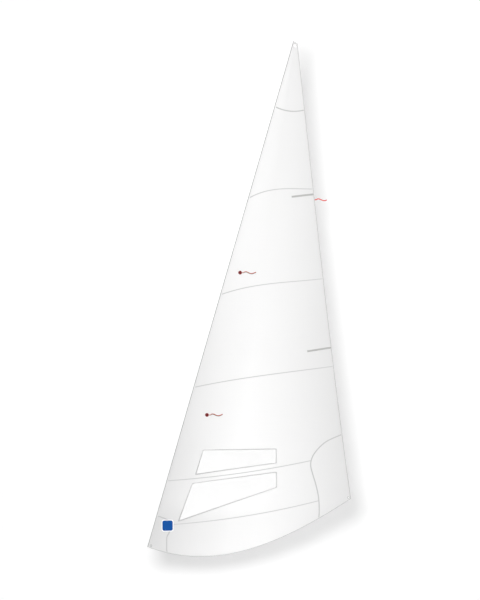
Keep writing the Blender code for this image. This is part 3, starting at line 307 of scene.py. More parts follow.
class SailForm:
    """The sail's lines and its belly, worked out from the sizes in the sidebar."""

    def __init__(self, scene):
        self.cut = scene.jib_cut
        self.sewing = scene.jib_sewing
        self.fittings = scene.jib_fittings
        cut, sewing = self.cut, self.sewing
        self.pitch = sewing.cloth + sewing.gap
        self.luff_slope = cut.head_rake / cut.head_height
        self.luff_cos = cut.head_height / math.hypot(cut.head_rake, cut.head_height)
        self.head_aft = cut.head_rake + cut.head_width * math.cos(cut.head_angle)
        self.head_low = cut.head_height - cut.head_width * math.sin(cut.head_angle)
        rise = self.head_low - cut.clew_height
        self.leech_cos = rise / math.hypot(cut.clew_aft - self.head_aft, rise)
        self.wire_centre = self.pitch + sewing.wire / 2
        self.nose = self.wire_centre + sewing.wire * NOSE_REACH
        self.insets = self.nose + sewing.gap * 2, self.pitch
        self.stack_middle = (self.front_of(FRONT_TAPE_LAYER) + self.back_of(REAR_TAPE_LAYER)) / 2
        self.stack_half = self.stack_middle - self.front_of(FRONT_TAPE_LAYER)
        self.flats = {}
        for corner in CORNERS:
            x, z = self.ring_spot(corner)
            self.flats[corner] = (x, z, float(self.smooth_belly(x, z)), *self.lean(x, z))

    def front_of(self, layer):
        return layer * self.pitch

    def back_of(self, layer):
        return layer * self.pitch + self.sewing.cloth

    @staticmethod
    def bowed(u, bow, skew):
        """4u(1-u) times the bow, which is larger towards u = 0 by the skew."""
        return 4 * u * (1 - u) * (bow + skew * (1 - 2 * u))

    def luff_x(self, z, inset=0.0):
        return self.luff_slope * z + inset / self.luff_cos

    def leech_x(self, z, inset=0.0):
        """A straight line from the clew to the head, less the bowed hollow."""
        cut = self.cut
        u = (z - cut.clew_height) / (self.head_low - cut.clew_height)
        line = cut.clew_aft + (self.head_aft - cut.clew_aft) * u
        hollow = self.bowed(np.clip(u, 0, 1), cut.leech_hollow, cut.leech_skew)
        return line - hollow - inset / self.leech_cos

    def foot_z(self, x, inset=0.0):
        """A straight line from the tack to the clew, less the bowed round."""
        cut = self.cut
        u = x / cut.clew_aft
        bow = cut.foot_round + cut.foot_skew * (1 - 2 * u)
        rise = cut.clew_height - 4 * ((1 - 2 * u) * bow - 2 * u * (1 - u) * cut.foot_skew)
        fall = np.hypot(1, rise / cut.clew_aft)
        return cut.clew_height * u - self.bowed(u, cut.foot_round, cut.foot_skew) + inset * fall

    def head_z(self, x):
        return self.cut.head_height - math.tan(self.cut.head_angle) * (x - self.cut.head_rake)

    def chord_share(self, x, z):
        """How far aft a point lies, from 0 at the luff to 1 at the leech."""
        luff = self.luff_x(z)
        return np.clip((x - luff) / np.maximum(self.leech_x(z) - luff, 1e-6), 0, 1)

    def smooth_belly(self, x, z):
        """Depth of the belly: camber times chord times a cubic of the chord share that runs straight
        aft of m, s^3 - 3 m s^2 + m^2 (3 - m) s over its own peak, plus the twist times the distance aft.
        """
        cut = self.cut
        m = cut.straight_from
        luff = self.luff_x(z)
        chord = np.maximum(self.leech_x(z) - luff, cut.head_width * 0.5) - self.nose
        aft = np.maximum(x - luff - self.nose, 0)
        s = aft / chord
        peak_at = m - m * math.sqrt(m / 3)
        peak = peak_at**3 - 3 * m * peak_at**2 + m**2 * (3 - m) * peak_at
        curved = s**3 - 3 * m * s**2 + m**2 * (3 - m) * s
        section = np.where(s < m, curved, m**3 * (1 - s)) / peak
        away = (z - cut.fullest_height) / cut.camber_reach
        camber = cut.camber_mid - (cut.camber_mid - cut.camber_ends) * away**2
        turn = math.tan(cut.twist) * (z - cut.clew_height) / (cut.head_height - cut.clew_height)
        return camber * chord * section + turn * aft

    def belly(self, x, z):
        """The smooth belly, eased into a flat round each corner ring."""
        depth = self.smooth_belly(x, z)
        flat_radius = self.fittings.ring_radius + RING_FLAT_ROOM
        for x0, z0, y0, along, up in self.flats.values():
            away = np.clip((np.hypot(x - x0, z - z0) - flat_radius) / flat_radius, 0, 1)
            eased = away * away * (3 - 2 * away)
            flat = y0 + along * (x - x0) + up * (z - z0)
            depth = flat + (depth - flat) * eased
        return depth

    def lean(self, x, z):
        """How fast the belly deepens going aft and going up."""
        step = 1e-4
        aft = (self.smooth_belly(x + step, z) - self.smooth_belly(x - step, z)) / (2 * step)
        up = (self.smooth_belly(x, z + step) - self.smooth_belly(x, z - step)) / (2 * step)
        return aft, up

    def to_port(self, x, z):
        """Unit vectors off the cloth on the port side, one row for each point."""
        aft, up = self.lean(x, z)
        found = np.stack([aft, -np.ones_like(aft), up], axis=-1)
        return found / np.linalg.norm(found, axis=-1, keepdims=True)

    def ring_spot(self, corner):
        """Where the two lines that run beside the tapes, a ring's room inside them, meet: read from
        the top tenth of the sail for the head, and closed in on in rounds for the other two.
        """
        sewing, fittings = self.sewing, self.fittings
        clear = fittings.ring_radius + fittings.ring_room
        luff, edge = sewing.luff_leg + clear, sewing.edge_leg + clear
        if corner == "head":
            z = np.linspace(self.cut.head_height * 0.9, self.cut.head_height, PATH_SAMPLES)
            z = float(np.interp(0, self.luff_x(z, luff) - self.leech_x(z, edge), z))
            return float(self.luff_x(z, luff)), z
        x, z, rounds = 0.0, self.cut.clew_height, 60
        for _ in range(rounds):
            x = float(self.luff_x(z, luff) if corner == "tack" else self.leech_x(z, edge))
            z = float(self.foot_z(x, edge))
        return x, z

    def seam(self, number, raised=0.0):
        """The line of a panel seam as a function of u, from 0 at the luff to 1 at the leech."""
        low, high = SEAM_LUFF_HEIGHTS[number - 1], SEAM_LEECH_HEIGHTS[number - 1]
        return self.across(low, high, SEAM_BOWS[number - 1], SEAM_SKEWS[number - 1], raised)

    def across(self, low, high, bow, skew, raised=0.0):
        start, end = self.luff_x(low), self.leech_x(high)

        def line(u):
            return start + (end - start) * u, low + (high - low) * u + self.bowed(u, bow, skew) + raised

        return line

    def foot(self, inset):
        def line(u):
            return self.cut.clew_aft * u, self.foot_z(self.cut.clew_aft * u, inset)

        return line

    def head(self):
        def line(u):
            x = self.cut.head_rake + (self.head_aft - self.cut.head_rake) * u
            return x, self.head_z(x)

        return line

    def head_patch(self):
        """The lower edge of the head patch, a shallow bow between two heights below the head."""
        at_luff, at_leech = self.cut.head_height - HEAD_PATCH_LUFF, self.head_low - HEAD_PATCH_LEECH
        return self.across(at_luff, at_leech, HEAD_PATCH_BOW, 0.0)

    def trimmed(self, line, steps, luff_inset, leech_inset):
        """Even steps along the stretch of a line that lies between the two inset edges, looked for
        from a little before the line's start to a little past its end.
        """
        past = 0.15
        u = np.linspace(-past, 1 + past, PATH_SAMPLES)
        x, z = line(u)
        first = np.interp(0, x - self.luff_x(z, luff_inset), u)
        last = np.interp(0, x - self.leech_x(z, leech_inset), u)
        return np.stack(line(np.linspace(first, last, steps + 1)), axis=-1)

    def luff_points(self, heights, inset):
        return np.stack([self.luff_x(heights, inset), heights], axis=-1)

    def leech_points(self, heights, inset):
        return np.stack([self.leech_x(heights, inset), heights], axis=-1)

    def foot_points(self):
        """The whole lower edge of the foot panel."""
        return self.trimmed(self.foot(self.pitch), PATH_SAMPLES, *self.insets)


def smooth_through(points, steps):
    """A curve through the points whose slope at each is half the way from its last to its next
    neighbour, with cubic pieces between them, in even steps of its length.
    """
    points = np.asarray(points, float)
    slopes = np.gradient(points, axis=0)
    t = np.linspace(0, 1, 17)[:-1, None]
    start, end = points[:-1, None], points[1:, None]
    leave, arrive = slopes[:-1, None], slopes[1:, None]
    fine = (
        start * (2 * t**3 - 3 * t**2 + 1)
        + leave * (t**3 - 2 * t**2 + t)
        + end * (3 * t**2 - 2 * t**3)
        + arrive * (t**3 - t**2)
    ).reshape(-1, 2)
    return even(np.vstack([fine, points[-1:]]), steps)


def even(path, steps):
    """The path again in even steps of its length."""
    along = np.concatenate([[0], np.cumsum(np.linalg.norm(np.diff(path, axis=0), axis=1))])
    at = np.linspace(0, along[-1], steps + 1)
    return np.stack([np.interp(at, along, path[:, i]) for i in range(path.shape[1])], axis=-1)


def side_by_side(columns, rows, wrap=False):
    """Corner numbers of the quads of a grid of points stored row after row."""
    across = columns if wrap else columns - 1
    i, j = np.meshgrid(np.arange(rows - 1), np.arange(across), indexing="ij")
    this_row, next_row, right = i * columns, (i + 1) * columns, (j + 1) % columns
    quads = np.stack([this_row + j, this_row + right, next_row + right, next_row + j], axis=-1)
    return quads.reshape(-1, 4)


def between(low, high, luff, leech):
    """A grid between four edges: the sum of the two ways of spanning them less the corners' own."""
    v = np.linspace(0, 1, len(luff))[:, None, None]
    u = np.linspace(0, 1, len(low))[None, :, None]
    corners = (1 - u) * (1 - v) * low[0] + u * (1 - v) * low[-1] + (1 - u) * v * high[0] + u * v * high[-1]
    grid = (1 - v) * low[None] + v * high[None] + (1 - u) * luff[:, None] + u * leech[:, None] - corners
    return grid.reshape(-1, 2), side_by_side(len(low), len(luff))


def around(inner, outer, rows):
    """A grid of rings that pass from one closed outline to another, both counted anticlockwise."""
    t = np.linspace(0, 1, rows)[:, None, None]
    grid = (1 - t) * inner[None] + t * outer[None]
    quads = side_by_side(len(inner), rows, wrap=True)
    return grid.reshape(-1, 2), quads[:, ::-1]


def nearest(points, lines):
    """Distance in the plane from each point to the nearest of some paths, each times its own factor."""
    found = np.full(len(points), 1.0)
    for path, factor in lines:
        a, b = path[:-1], path[1:]
        along = b - a
        size = np.maximum((along**2).sum(-1), 1e-12)
        t = ((points[:, None] - a) * along).sum(-1) / size
        foot = a + along * np.clip(t, 0, 1)[..., None]
        found = np.minimum(found, factor * np.sqrt(((points[:, None] - foot) ** 2).sum(-1)).min(1))
    return found


def closed(path):
    return np.vstack([path, path[:1]])


def both_sides(quads, total):
    """The quads, the same ones turned round on a second layer of so many points, and a wall between
    the two along every edge that only one quad uses.
    """
    start, end = quads.ravel(), np.roll(quads, -1, axis=1).ravel()
    lone = ~np.isin(start * total + end, end * total + start)
    start, end = start[lone], end[lone]
    wall = np.stack([end, start, start + total, end + total], axis=1)
    return np.vstack([quads, quads[:, ::-1] + total, wall])


def slab(flat, quads, front, back):
    """A closed plate from the front depth to the back depth, and which of the flat points it uses."""
    used, quads = np.unique(quads, return_inverse=True)
    quads = quads.reshape(-1, 4)
    flat, front, back = flat[used], front[used], back[used]
    points = np.vstack([np.column_stack([flat[:, 0], y, flat[:, 1]]) for y in (front, back)])
    return points, both_sides(quads, len(used)), used


def cloth_slab(form, flat, quads, layer):
    """A plate of cloth on the belly, in one layer of the stack."""
    depth = form.belly(flat[:, 0], flat[:, 1])
    return slab(flat, quads, depth + form.front_of(layer), depth + form.back_of(layer))


def add_piece(name, points, faces, look, node_name=None, body="sail", traits=None):
    """A mesh in the frame, which rides on a body and stands for the node that it replaces."""
    mesh = bpy.data.meshes.new(name)
    mesh.from_pydata(points.tolist(), [], faces if isinstance(faces, list) else faces.tolist())
    for label, values in (traits or {}).items():
        kept = mesh.attributes.new(label, "FLOAT", "POINT")
        kept.data.foreach_set("value", np.asarray(values, np.float32))
    mesh.materials.append(LOOKS[look])
    mesh.shade_smooth()
    mesh.set_sharp_from_angle(angle=SHARP_EDGE)
    made = bpy.data.objects.new(name, mesh)
    bpy.context.scene.collection.objects.link(made)
    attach(made, body)
    if node_name:
        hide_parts(node_name)
    return made


def cloth_traits(form, flat, hem):
    """What the cloth's material follows: the chord share and the share of the height, which place its
    painted shade, and the hem distance.
    """
    x, z = flat[:, 0], flat[:, 1]
    traits = {"chord": form.chord_share(x, z), "rise": z / form.cut.head_height, "hem": hem}
    return {label: np.tile(values, 2) for label, values in traits.items()}


def add_cloth(form, kind, node_name, flat, quads, layer, look, hem_lines):
    """A plate of cloth on the belly in one layer of the stack, with a printed line giving the size of its
    cut.
    """
    points, faces, used = cloth_slab(form, flat, quads, layer)
    traits = cloth_traits(form, flat[used], nearest(flat, hem_lines)[used])
    name = f"{kind}_{node_name}"
    made = add_piece(name, points, faces, look, node_name, traits=traits)
    face = points[faces[: len(quads)]]
    diagonals = np.cross(face[:, 2] - face[:, 0], face[:, 3] - face[:, 1])
    area = float(np.linalg.norm(diagonals, axis=1).sum() / 2)
    wide, tall = (flat[used].max(0) - flat[used].min(0)).tolist()
    area = min(area, wide * tall)
    print(f"cut {name}: {wide:.3f} x {tall:.3f} m, {area:.4f} m2")


def add_sticker(form, name, node_name, middle, size, corner, steps, layer, look):
    """A square with round corners of sticky-backed cloth, in one layer of the stack."""
    flat, quads, hem = round_square(size, corner, steps)
    points, faces, used = cloth_slab(form, flat + middle, quads, layer)
    return add_piece(name, points, faces, look, node_name, traits={"hem": np.tile(hem[used], 2)})


def steps_for(form, path):
    """How many cells of the usual size fit along a path."""
    return max(2, round(float(np.linalg.norm(np.diff(path, axis=0), axis=1).sum()) / form.sewing.cells))


def layer_of_panel(number):
    """Even panels lie on the port side of the laps."""
    return 0 if number % 2 == 0 else 1


def panel_edges(form, number):
    """The lower, upper, luff and leech edges of a panel, with its laps."""
    lap = form.sewing.lap if layer_of_panel(number) else 0.0
    low = form.seam(number - 1, -lap) if number > 1 else form.foot(form.pitch)
    high = form.seam(number, lap) if number < len(PANEL_NAMES) else form.head()
    rough_steps = 40
    wide = steps_for(form, form.trimmed(low, rough_steps, *form.insets))
    low, high = form.trimmed(low, wide, *form.insets), form.trimmed(high, wide, *form.insets)
    tall = steps_for(form, np.vstack([low[0], high[0]]))
    luff = form.luff_points(np.linspace(low[0, 1], high[0, 1], tall + 1), form.insets[0])
    leech = form.leech_points(np.linspace(low[-1, 1], high[-1, 1], tall + 1), form.insets[1])
    return low, high, luff, leech


def window_sides(opening, wide, tall):
    """The four sides of an opening in the same numbers of steps as its panel's."""
    corners = np.array(opening)
    sides = []
    for i, steps in enumerate((wide, tall, wide, tall)):
        t = np.linspace(0, 1, steps + 1)[:-1, None]
        sides.append(corners[i] * (1 - t) + corners[(i + 1) % 4] * t)
    return np.vstack(sides)


def off_rings(form, flat, quads):
    """The quads that lie clear of the corner rings."""
    middle = flat[quads].mean(1)
    clear = form.fittings.ring_radius + RING_PANEL_ROOM
    keep = np.ones(len(quads), bool)
    for x, z, *_ in form.flats.values():
        keep &= np.hypot(middle[:, 0] - x, middle[:, 1] - z) > clear
    return quads[keep]


def ring_hole(form, corner, angles):
    """Points round the hole in the cloth for a ring, at some angles from its middle."""
    x, z = form.flats[corner][:2]
    fittings = form.fittings
    radius = fittings.ring_bore + fittings.ring_wall + fittings.hole_room
    return np.stack([x + radius * np.cos(angles), z + radius * np.sin(angles)], axis=-1)


def curved_edge(form, points, steps):
    """A patch's free edge through some points, down to the foot."""
    edge = smooth_through(points, steps)
    return edge[edge[:, 1] > form.foot_z(edge[:, 0], form.pitch)]


def tack_outline(form):
    first = (float(form.luff_x(TACK_PATCH_LUFF, form.insets[0])), TACK_PATCH_LUFF)
    free = curved_edge(form, [first, *TACK_PATCH_CURVE], 120)
    foot = form.foot_points()
    foot = foot[foot[:, 0] < free[-1, 0] - PATCH_TIP_ROOM]
    foot = np.vstack([foot[:1], foot[::3][1:]])
    luff = form.luff_points(np.linspace(TACK_PATCH_LUFF, foot[0, 1], 60)[1:-1], form.insets[0])
    return np.vstack([foot, free[::-1], luff]), free


def clew_outline(form):
    top = form.cut.clew_height + CLEW_PATCH_LEECH
    first = (float(form.leech_x(top, form.insets[1])), top)
    clew = np.array([form.cut.clew_aft, form.cut.clew_height])
    free = curved_edge(form, [first, *(tuple(clew + p) for p in CLEW_PATCH_CURVE)], 160)
    whole_foot = form.foot_points()
    foot = whole_foot[whole_foot[:, 0] > free[-1, 0] + PATCH_TIP_ROOM][::4]
    foot = np.vstack([foot, whole_foot[-1]])
    leech = form.leech_points(np.linspace(foot[-1, 1], top, 120)[1:-1], form.insets[1])
    return np.vstack([free, foot, leech]), free


def head_outline(form):
    free = form.trimmed(form.head_patch(), 60, *form.insets)
    top = form.trimmed(form.head(), 12, *form.insets)
    leech = form.leech_points(np.linspace(free[-1, 1], top[-1, 1], 120), form.insets[1])
    luff = even(np.vstack([top[0], free[0]]), 120)
    return np.vstack([free[:-1], leech[:-1], top[::-1][:-1], luff[:-1]]), free


def patch_outlines(form):
    """Each corner patch's closed outline, anticlockwise seen from port, and its free edge."""
    return {"tack": tack_outline(form), "clew": clew_outline(form), "head": head_outline(form)}


# Node groups and materials


def feed(tree, socket, value):
    """Links a socket to a value that another node gives, or sets it to a plain one."""
    if isinstance(value, bpy.types.NodeSocket):
        tree.links.new(value, socket)
    else:
        socket.default_value = value


def spaced(inputs):
    """The same inputs under their labels, which have spaces where a keyword has underscores."""
    return {key.replace("_", " "): value for key, value in inputs.items()}


def node(tree, kind, inputs=None, **settings):
    made = tree.nodes.new(kind)
    for key, value in settings.items():
        setattr(made, key, value)
    for key, value in (inputs or {}).items():
        feed(tree, made.inputs[key], value)
    return made


def maths(tree, operation, *values):
    return node(tree, "ShaderNodeMath", dict(enumerate(values)), operation=operation).outputs[0]


def ramp(tree, value, low, high, to_low=0.0, to_high=1.0, smooth=False):
    inputs = {0: value, 1: low, 2: high, 3: to_low, 4: to_high}
    way = "SMOOTHSTEP" if smooth else "LINEAR"
    return node(tree, "ShaderNodeMapRange", inputs, interpolation_type=way).outputs[0]


def mixed(tree, factor, a, b):
    return node(tree, "ShaderNodeMix", {0: factor, 6: a, 7: b}, data_type="RGBA").outputs[2]


def noise(tree, place, scale, detail, stretch=None):
    """Noise over a place, which is scaled along each axis first where a stretch is given."""
    if stretch:
        place = node(tree, "ShaderNodeMapping", {"Vector": place, "Scale": stretch}).outputs[0]
    return node(tree, "ShaderNodeTexNoise", {"Vector": place, "Scale": scale, "Detail": detail}).outputs[0]


def trait(tree, name):
    return node(tree, "ShaderNodeAttribute", attribute_name=name, attribute_type="GEOMETRY").outputs["Fac"]


def group(name, inputs, outputs):
    """A new shader node group, with its input and output nodes."""
    tree = bpy.data.node_groups.new(name, "ShaderNodeTree")
    for label, default in inputs.items():
        kind = "NodeSocketFloat" if isinstance(default, (int, float)) else "NodeSocketVector"
        socket = tree.interface.new_socket(label, in_out="INPUT", socket_type=kind)
        socket.default_value = default
    for label in outputs:
        tree.interface.new_socket(label, in_out="OUTPUT", socket_type="NodeSocketFloat")
    return tree, tree.nodes.new("NodeGroupInput").outputs, tree.nodes.new("NodeGroupOutput").inputs


def weave_group(name):
    """Height of a plain weave, the product of two sines of X and Z a thread apart, and the faint
    streaks of uneven yarn along both.
    """
    defaults = {"Vector": (0, 0, 0), "Pitch": 0.001, "Streaks": 0.02}
    tree, ins, outs = group(name, defaults, ["Height", "Tone"])
    axes = node(tree, "ShaderNodeSeparateXYZ", {0: ins["Vector"]}).outputs
    turn = maths(tree, "DIVIDE", math.pi, ins["Pitch"])
    warp, weft = (maths(tree, "SINE", maths(tree, "MULTIPLY", axes[axis], turn)) for axis in "XZ")
    crossed = maths(tree, "MULTIPLY", warp, weft)
    feed(tree, outs["Height"], maths(tree, "MULTIPLY_ADD", crossed, 0.5, 0.5))
    yarns = []
    for stretch in ((3.0, 3.0, 160.0), (210.0, 3.0, 4.0)):
        yarns.append(maths(tree, "SUBTRACT", noise(tree, ins["Vector"], 1.0, 2.0, stretch), 0.5))
    feed(tree, outs["Tone"], maths(tree, "MULTIPLY_ADD", maths(tree, "ADD", *yarns), ins["Streaks"], 1.0))
    return tree


def shade_group(name):
    """Painted shade along the cloth's chord, standing in for the light across the belly: how pale the cloth
    is painted. Three tones, at the luff, at the crest of the paleness and at the leech, each change with the
    height and pass into each other along the chord. The foot has more painted shade, by a share that is
    larger towards the tack.
    """
    levels = {"Chord": 0.5, "Rise": 0.5, "Crest At": 0.38}
    tones = ("Luff Low", "Luff High", "Crest Low", "Crest High", "Leech Low", "Leech High")
    tree, ins, outs = group(name, {**levels, **dict.fromkeys(tones, 1.0), "Foot": 0.1}, ["Shade"])
    luff = ramp(tree, ins["Rise"], 0.15, 0.60, ins["Luff Low"], ins["Luff High"])
    crest = ramp(tree, ins["Rise"], 0.05, 0.95, ins["Crest Low"], ins["Crest High"])
    leech = ramp(tree, ins["Rise"], 0.05, 0.95, ins["Leech Low"], ins["Leech High"])
    forward = ramp(tree, ins["Chord"], ins["Crest At"], 0.0)
    aft = maths(tree, "POWER", ramp(tree, ins["Chord"], ins["Crest At"], 1.0), 1.5)
    to_luff = maths(tree, "MULTIPLY", maths(tree, "SUBTRACT", luff, crest), forward)
    to_leech = maths(tree, "MULTIPLY", maths(tree, "SUBTRACT", leech, crest), aft)
    shade = maths(tree, "ADD", crest, maths(tree, "ADD", to_luff, to_leech))
    # painted shade at the foot, heavier towards the tack
    at_foot = ramp(tree, ins["Rise"], 0.100, 0.045, 0.0, ins["Foot"], smooth=True)
    loss = maths(tree, "MULTIPLY", at_foot, ramp(tree, ins["Chord"], 0.60, 0.34, 0.27, 1.0, smooth=True))
    feed(tree, outs["Shade"], maths(tree, "MULTIPLY", shade, maths(tree, "SUBTRACT", 1.0, loss)))
    return tree


def edge_group(name):
    """A soft-sided band along a sewn edge, and a wider soft ridge, from the distance to it."""
    tree, ins, outs = group(name, {"Distance": 1.0, "Width": 0.01}, ["Band", "Ridge"])
    side = maths(tree, "DIVIDE", ins["Distance"], ins["Width"])
    feed(tree, outs["Band"], ramp(tree, side, 0.8, 1.0, 1.0, 0.0, smooth=True))
    feed(tree, outs["Ridge"], ramp(tree, side, 0.0, 1.6, 1.0, 0.0, smooth=True))
    return tree


def wear_group(name):
    """Faint smudges from handling: two sizes of noise, one cut by the other."""
    tree, ins, outs = group(name, {"Vector": (0, 0, 0), "Scale": 2.0, "Amount": 0.03}, ["Tone"])
    broad = noise(tree, ins["Vector"], ins["Scale"], 3.0)
    fine = noise(tree, ins["Vector"], maths(tree, "MULTIPLY", ins["Scale"], 7.0), 4.0)
    mask = maths(tree, "MULTIPLY", ramp(tree, broad, 0.45, 0.75), fine)
    feed(tree, outs["Tone"], maths(tree, "SUBTRACT", 1.0, maths(tree, "MULTIPLY", mask, ins["Amount"])))
    return tree


GROUP_BUILDERS = {
    "Plain Weave": weave_group,
    "Chord Shade": shade_group,
    "Sewn Edge": edge_group,
    "Handling": wear_group,
}


def use(tree, name, **inputs):
    """A node of one of the groups, which is built when it is first asked for."""
    built = bpy.data.node_groups.get(name) or GROUP_BUILDERS[name](name)
    return node(tree, "ShaderNodeGroup", spaced(inputs), node_tree=built).outputs


def started(name, roughness, metallic=0.0, **constants):
    """A material with its shader's even values set on the shader itself, its nodes, the shader and
    the place on the piece.
    """
    made = bpy.data.materials.new(name)
    made.use_nodes = True
    tree = made.node_tree
    shader = tree.nodes["Principled BSDF"]
    for label, value in {"Roughness": roughness, "Metallic": metallic, **spaced(constants)}.items():
        shader.inputs[label].default_value = value
    return made, tree, shader, node(tree, "ShaderNodeTexCoord").outputs["Object"]


def painted(tree, shader, height, strength, distance, **inputs):
    """Feeds the shader with what changes over the piece, its bump from a height among it."""
    bump = node(tree, "ShaderNodeBump", {"Height": height, "Strength": strength, "Distance": distance})
    for label, value in spaced({**inputs, "Normal": bump.outputs[0]}).items():
        feed(tree, shader.inputs[label], value)


def solid(rgb):
    return (*rgb, 1.0)


def scaled_colour(tree, rgb, *factors):
    """A colour times some factors."""
    factor = factors[0]
    for other in factors[1:]:
        factor = maths(tree, "MULTIPLY", factor, other)
    return node(tree, "ShaderNodeVectorMath", {0: rgb, "Scale": factor}, operation="SCALE").outputs[0]


def cloth_material(name, rgb, seam_rgb, band_width, pitch=0.0011, streaks=0.016, painted_shade_amount=1.0):
    """Woven sailcloth with painted shade, pale at mid chord and darker towards the luff, the leech and the
    foot, with a greyer doubled band at its hem.
    """
    made, tree, shader, where = started(
        name, 0.62, Sheen_Weight=0.12, Sheen_Roughness=0.45, Specular_IOR_Level=0.28
    )
    weave = use(tree, "Plain Weave", Vector=where, Pitch=pitch, Streaks=streaks)
    # painted shade across the chord and at the foot, which scales the cloth's colour
    shade = use(
        tree,
        "Chord Shade",
        Chord=trait(tree, "chord"),
        Rise=trait(tree, "rise"),
        Luff_Low=1 - 0.23 * painted_shade_amount,
        Luff_High=1 - 0.04 * painted_shade_amount,
        Crest_Low=0.985,
        Crest_High=1 - 0.17 * painted_shade_amount,
        Leech_Low=1 - 0.275 * painted_shade_amount,
        Leech_High=1 - 0.19 * painted_shade_amount,
        Foot=0.10 * painted_shade_amount,
    )
    smudge = use(tree, "Handling", Vector=where, Scale=1.3, Amount=0.02)
    edge = use(tree, "Sewn Edge", Distance=trait(tree, "hem"), Width=band_width)
    plain = scaled_colour(tree, rgb, shade["Shade"], weave["Tone"], smudge["Tone"])
    height = maths(tree, "MULTIPLY_ADD", edge["Ridge"], 0.6, weave["Height"])
    painted(
        tree, shader, height, 0.25, 0.0003,
        Base_Color=mixed(tree, edge["Band"], plain, solid(seam_rgb)),
        Roughness=ramp(tree, weave["Height"], 0.0, 1.0, 0.68, 0.56),
    )
    return made


def film_material(finish):
    """Clear rolled film: see-through, glossy, a little milky, with the greyer sewn margin."""
    made, tree, shader, where = started("window_film", 0.09, Specular_IOR_Level=0.45, IOR=1.45)
    haze = use(tree, "Handling", Vector=where, Scale=3.0, Amount=0.15)
    edge = use(tree, "Sewn Edge", Distance=trait(tree, "hem"), Width=0.0112)
    clear = ramp(tree, haze["Tone"], 0.85, 1.0, 0.60, 0.52)
    painted(
        tree, shader, noise(tree, where, 5.0, 1.0), 0.12, 0.004,
        Base_Color=mixed(tree, edge["Band"], solid(finish.film), solid(finish.edge)),
        Alpha=maths(tree, "MAXIMUM", clear, edge["Band"]),
    )
    return made


def thread_material(finish):
    """Twisted polyester thread: a fine diagonal ply in its bump and tone."""
    made, tree, shader, where = started("sewing_thread", 0.55, Sheen_Weight=0.2, Specular_IOR_Level=0.35)
    inputs = {"Vector": where, "Scale": 900.0, "Distortion": 0.4}
    ply = node(tree, "ShaderNodeTexWave", inputs).outputs["Fac"]
    rgb = scaled_colour(tree, finish.thread, ramp(tree, ply, 0.0, 1.0, 0.88, 1.06))
    painted(tree, shader, ply, 0.3, 0.0001, Base_Color=rgb)
    return made


def batten_material(finish):
    """Pulled glass fibre: long fine fibres along the batten in resin."""
    made, tree, shader, where = started("batten_fibreglass", 0.34, Coat_Weight=0.25, Coat_Roughness=0.2)
    fibres = noise(tree, where, 1.0, 3.0, (14.0, 400.0, 1500.0))
    painted(
        tree, shader, fibres, 0.15, 0.0002,
        Base_Color=scaled_colour(tree, finish.batten, ramp(tree, fibres, 0.3, 0.7, 0.80, 1.04)),
        Roughness=ramp(tree, fibres, 0.3, 0.7, 0.30, 0.44),
    )
    return made


def metal_material(name, rgb, roughness, scale):
    """Pressed stainless steel with fine marks and duller patches."""
    made, tree, shader, where = started(name, roughness, 1.0)
    marks = noise(tree, where, scale, 5.0)
    smudge = use(tree, "Handling", Vector=where, Scale=60.0, Amount=0.3)
    marked = ramp(tree, marks, 0.3, 0.7, roughness + 0.2, roughness + 0.35)
    rough = maths(tree, "SUBTRACT", marked, smudge["Tone"])
    painted(
        tree, shader, marks, 0.05, 0.0003,
        Base_Color=scaled_colour(tree, rgb, ramp(tree, marks, 0.3, 0.7, 0.94, 1.04), smudge["Tone"]),
        Roughness=maths(tree, "ADD", maths(tree, "ADD", rough, 0.85), -0.05),
    )
    return made


def dot_material(name, rgb, rim_rgb):
    """A cut disc of sticky-backed cloth, brighter at its cut rim."""
    made, tree, shader, where = started(name, 0.55, Sheen_Weight=0.15, Specular_IOR_Level=0.3)
    weave = use(tree, "Plain Weave", Vector=where, Pitch=0.0005, Streaks=0.12)
    edge = use(tree, "Sewn Edge", Distance=trait(tree, "hem"), Width=0.0022)
    plain = scaled_colour(tree, rgb, weave["Tone"])
    painted(
        tree, shader, weave["Height"], 0.2, 0.0002,
        Base_Color=mixed(tree, edge["Band"], plain, solid(rim_rgb)),
        Roughness=ramp(tree, weave["Height"], 0.0, 1.0, 0.62, 0.48),
    )
    return made


def ribbon_material(name, rgb, root_rgb, lower_shade_rgb):
    """Light spinnaker cloth, faded at its root, with painted shade along its lower edge."""
    made, tree, shader, where = started(name, 0.48, Sheen_Weight=0.15, Specular_IOR_Level=0.3)
    weave = use(tree, "Plain Weave", Vector=where, Pitch=0.0004, Streaks=0.1)
    faded = mixed(tree, 0.45, solid(rgb), solid(root_rgb))
    along = mixed(tree, ramp(tree, trait(tree, "run"), 0.03, 0.35), faded, solid(rgb))
    # painted shade along the ribbon's lower edge
    across = mixed(tree, ramp(tree, trait(tree, "side"), 0.1, -0.5), along, solid(lower_shade_rgb))
    painted(
        tree, shader, weave["Height"], 0.2, 0.00015,
        Base_Color=scaled_colour(tree, across, weave["Tone"]),
        Roughness=ramp(tree, weave["Height"], 0.0, 1.0, 0.55, 0.42),
    )
    return made


def label_material(finish, width):
    """Plain blue sticky-backed cloth inside a white border of some width."""
    made, tree, shader, where = started("tack_label", 0.42, Specular_IOR_Level=0.2)
    weave = use(tree, "Plain Weave", Vector=where, Pitch=0.0007, Streaks=0.05)
    smudge = use(tree, "Handling", Vector=where, Scale=9.0, Amount=0.12)
    border = ramp(tree, trait(tree, "hem"), width, width + 0.0006, 1.0, 0.0)
    blue = scaled_colour(tree, finish.label, weave["Tone"], smudge["Tone"])
    painted(
        tree, shader, weave["Height"], 0.15, 0.0002,
        Base_Color=mixed(tree, border, blue, solid(finish.label_rim)),
        Roughness=ramp(tree, smudge["Tone"], 0.85, 1.0, 0.55, 0.38),
    )
    return made


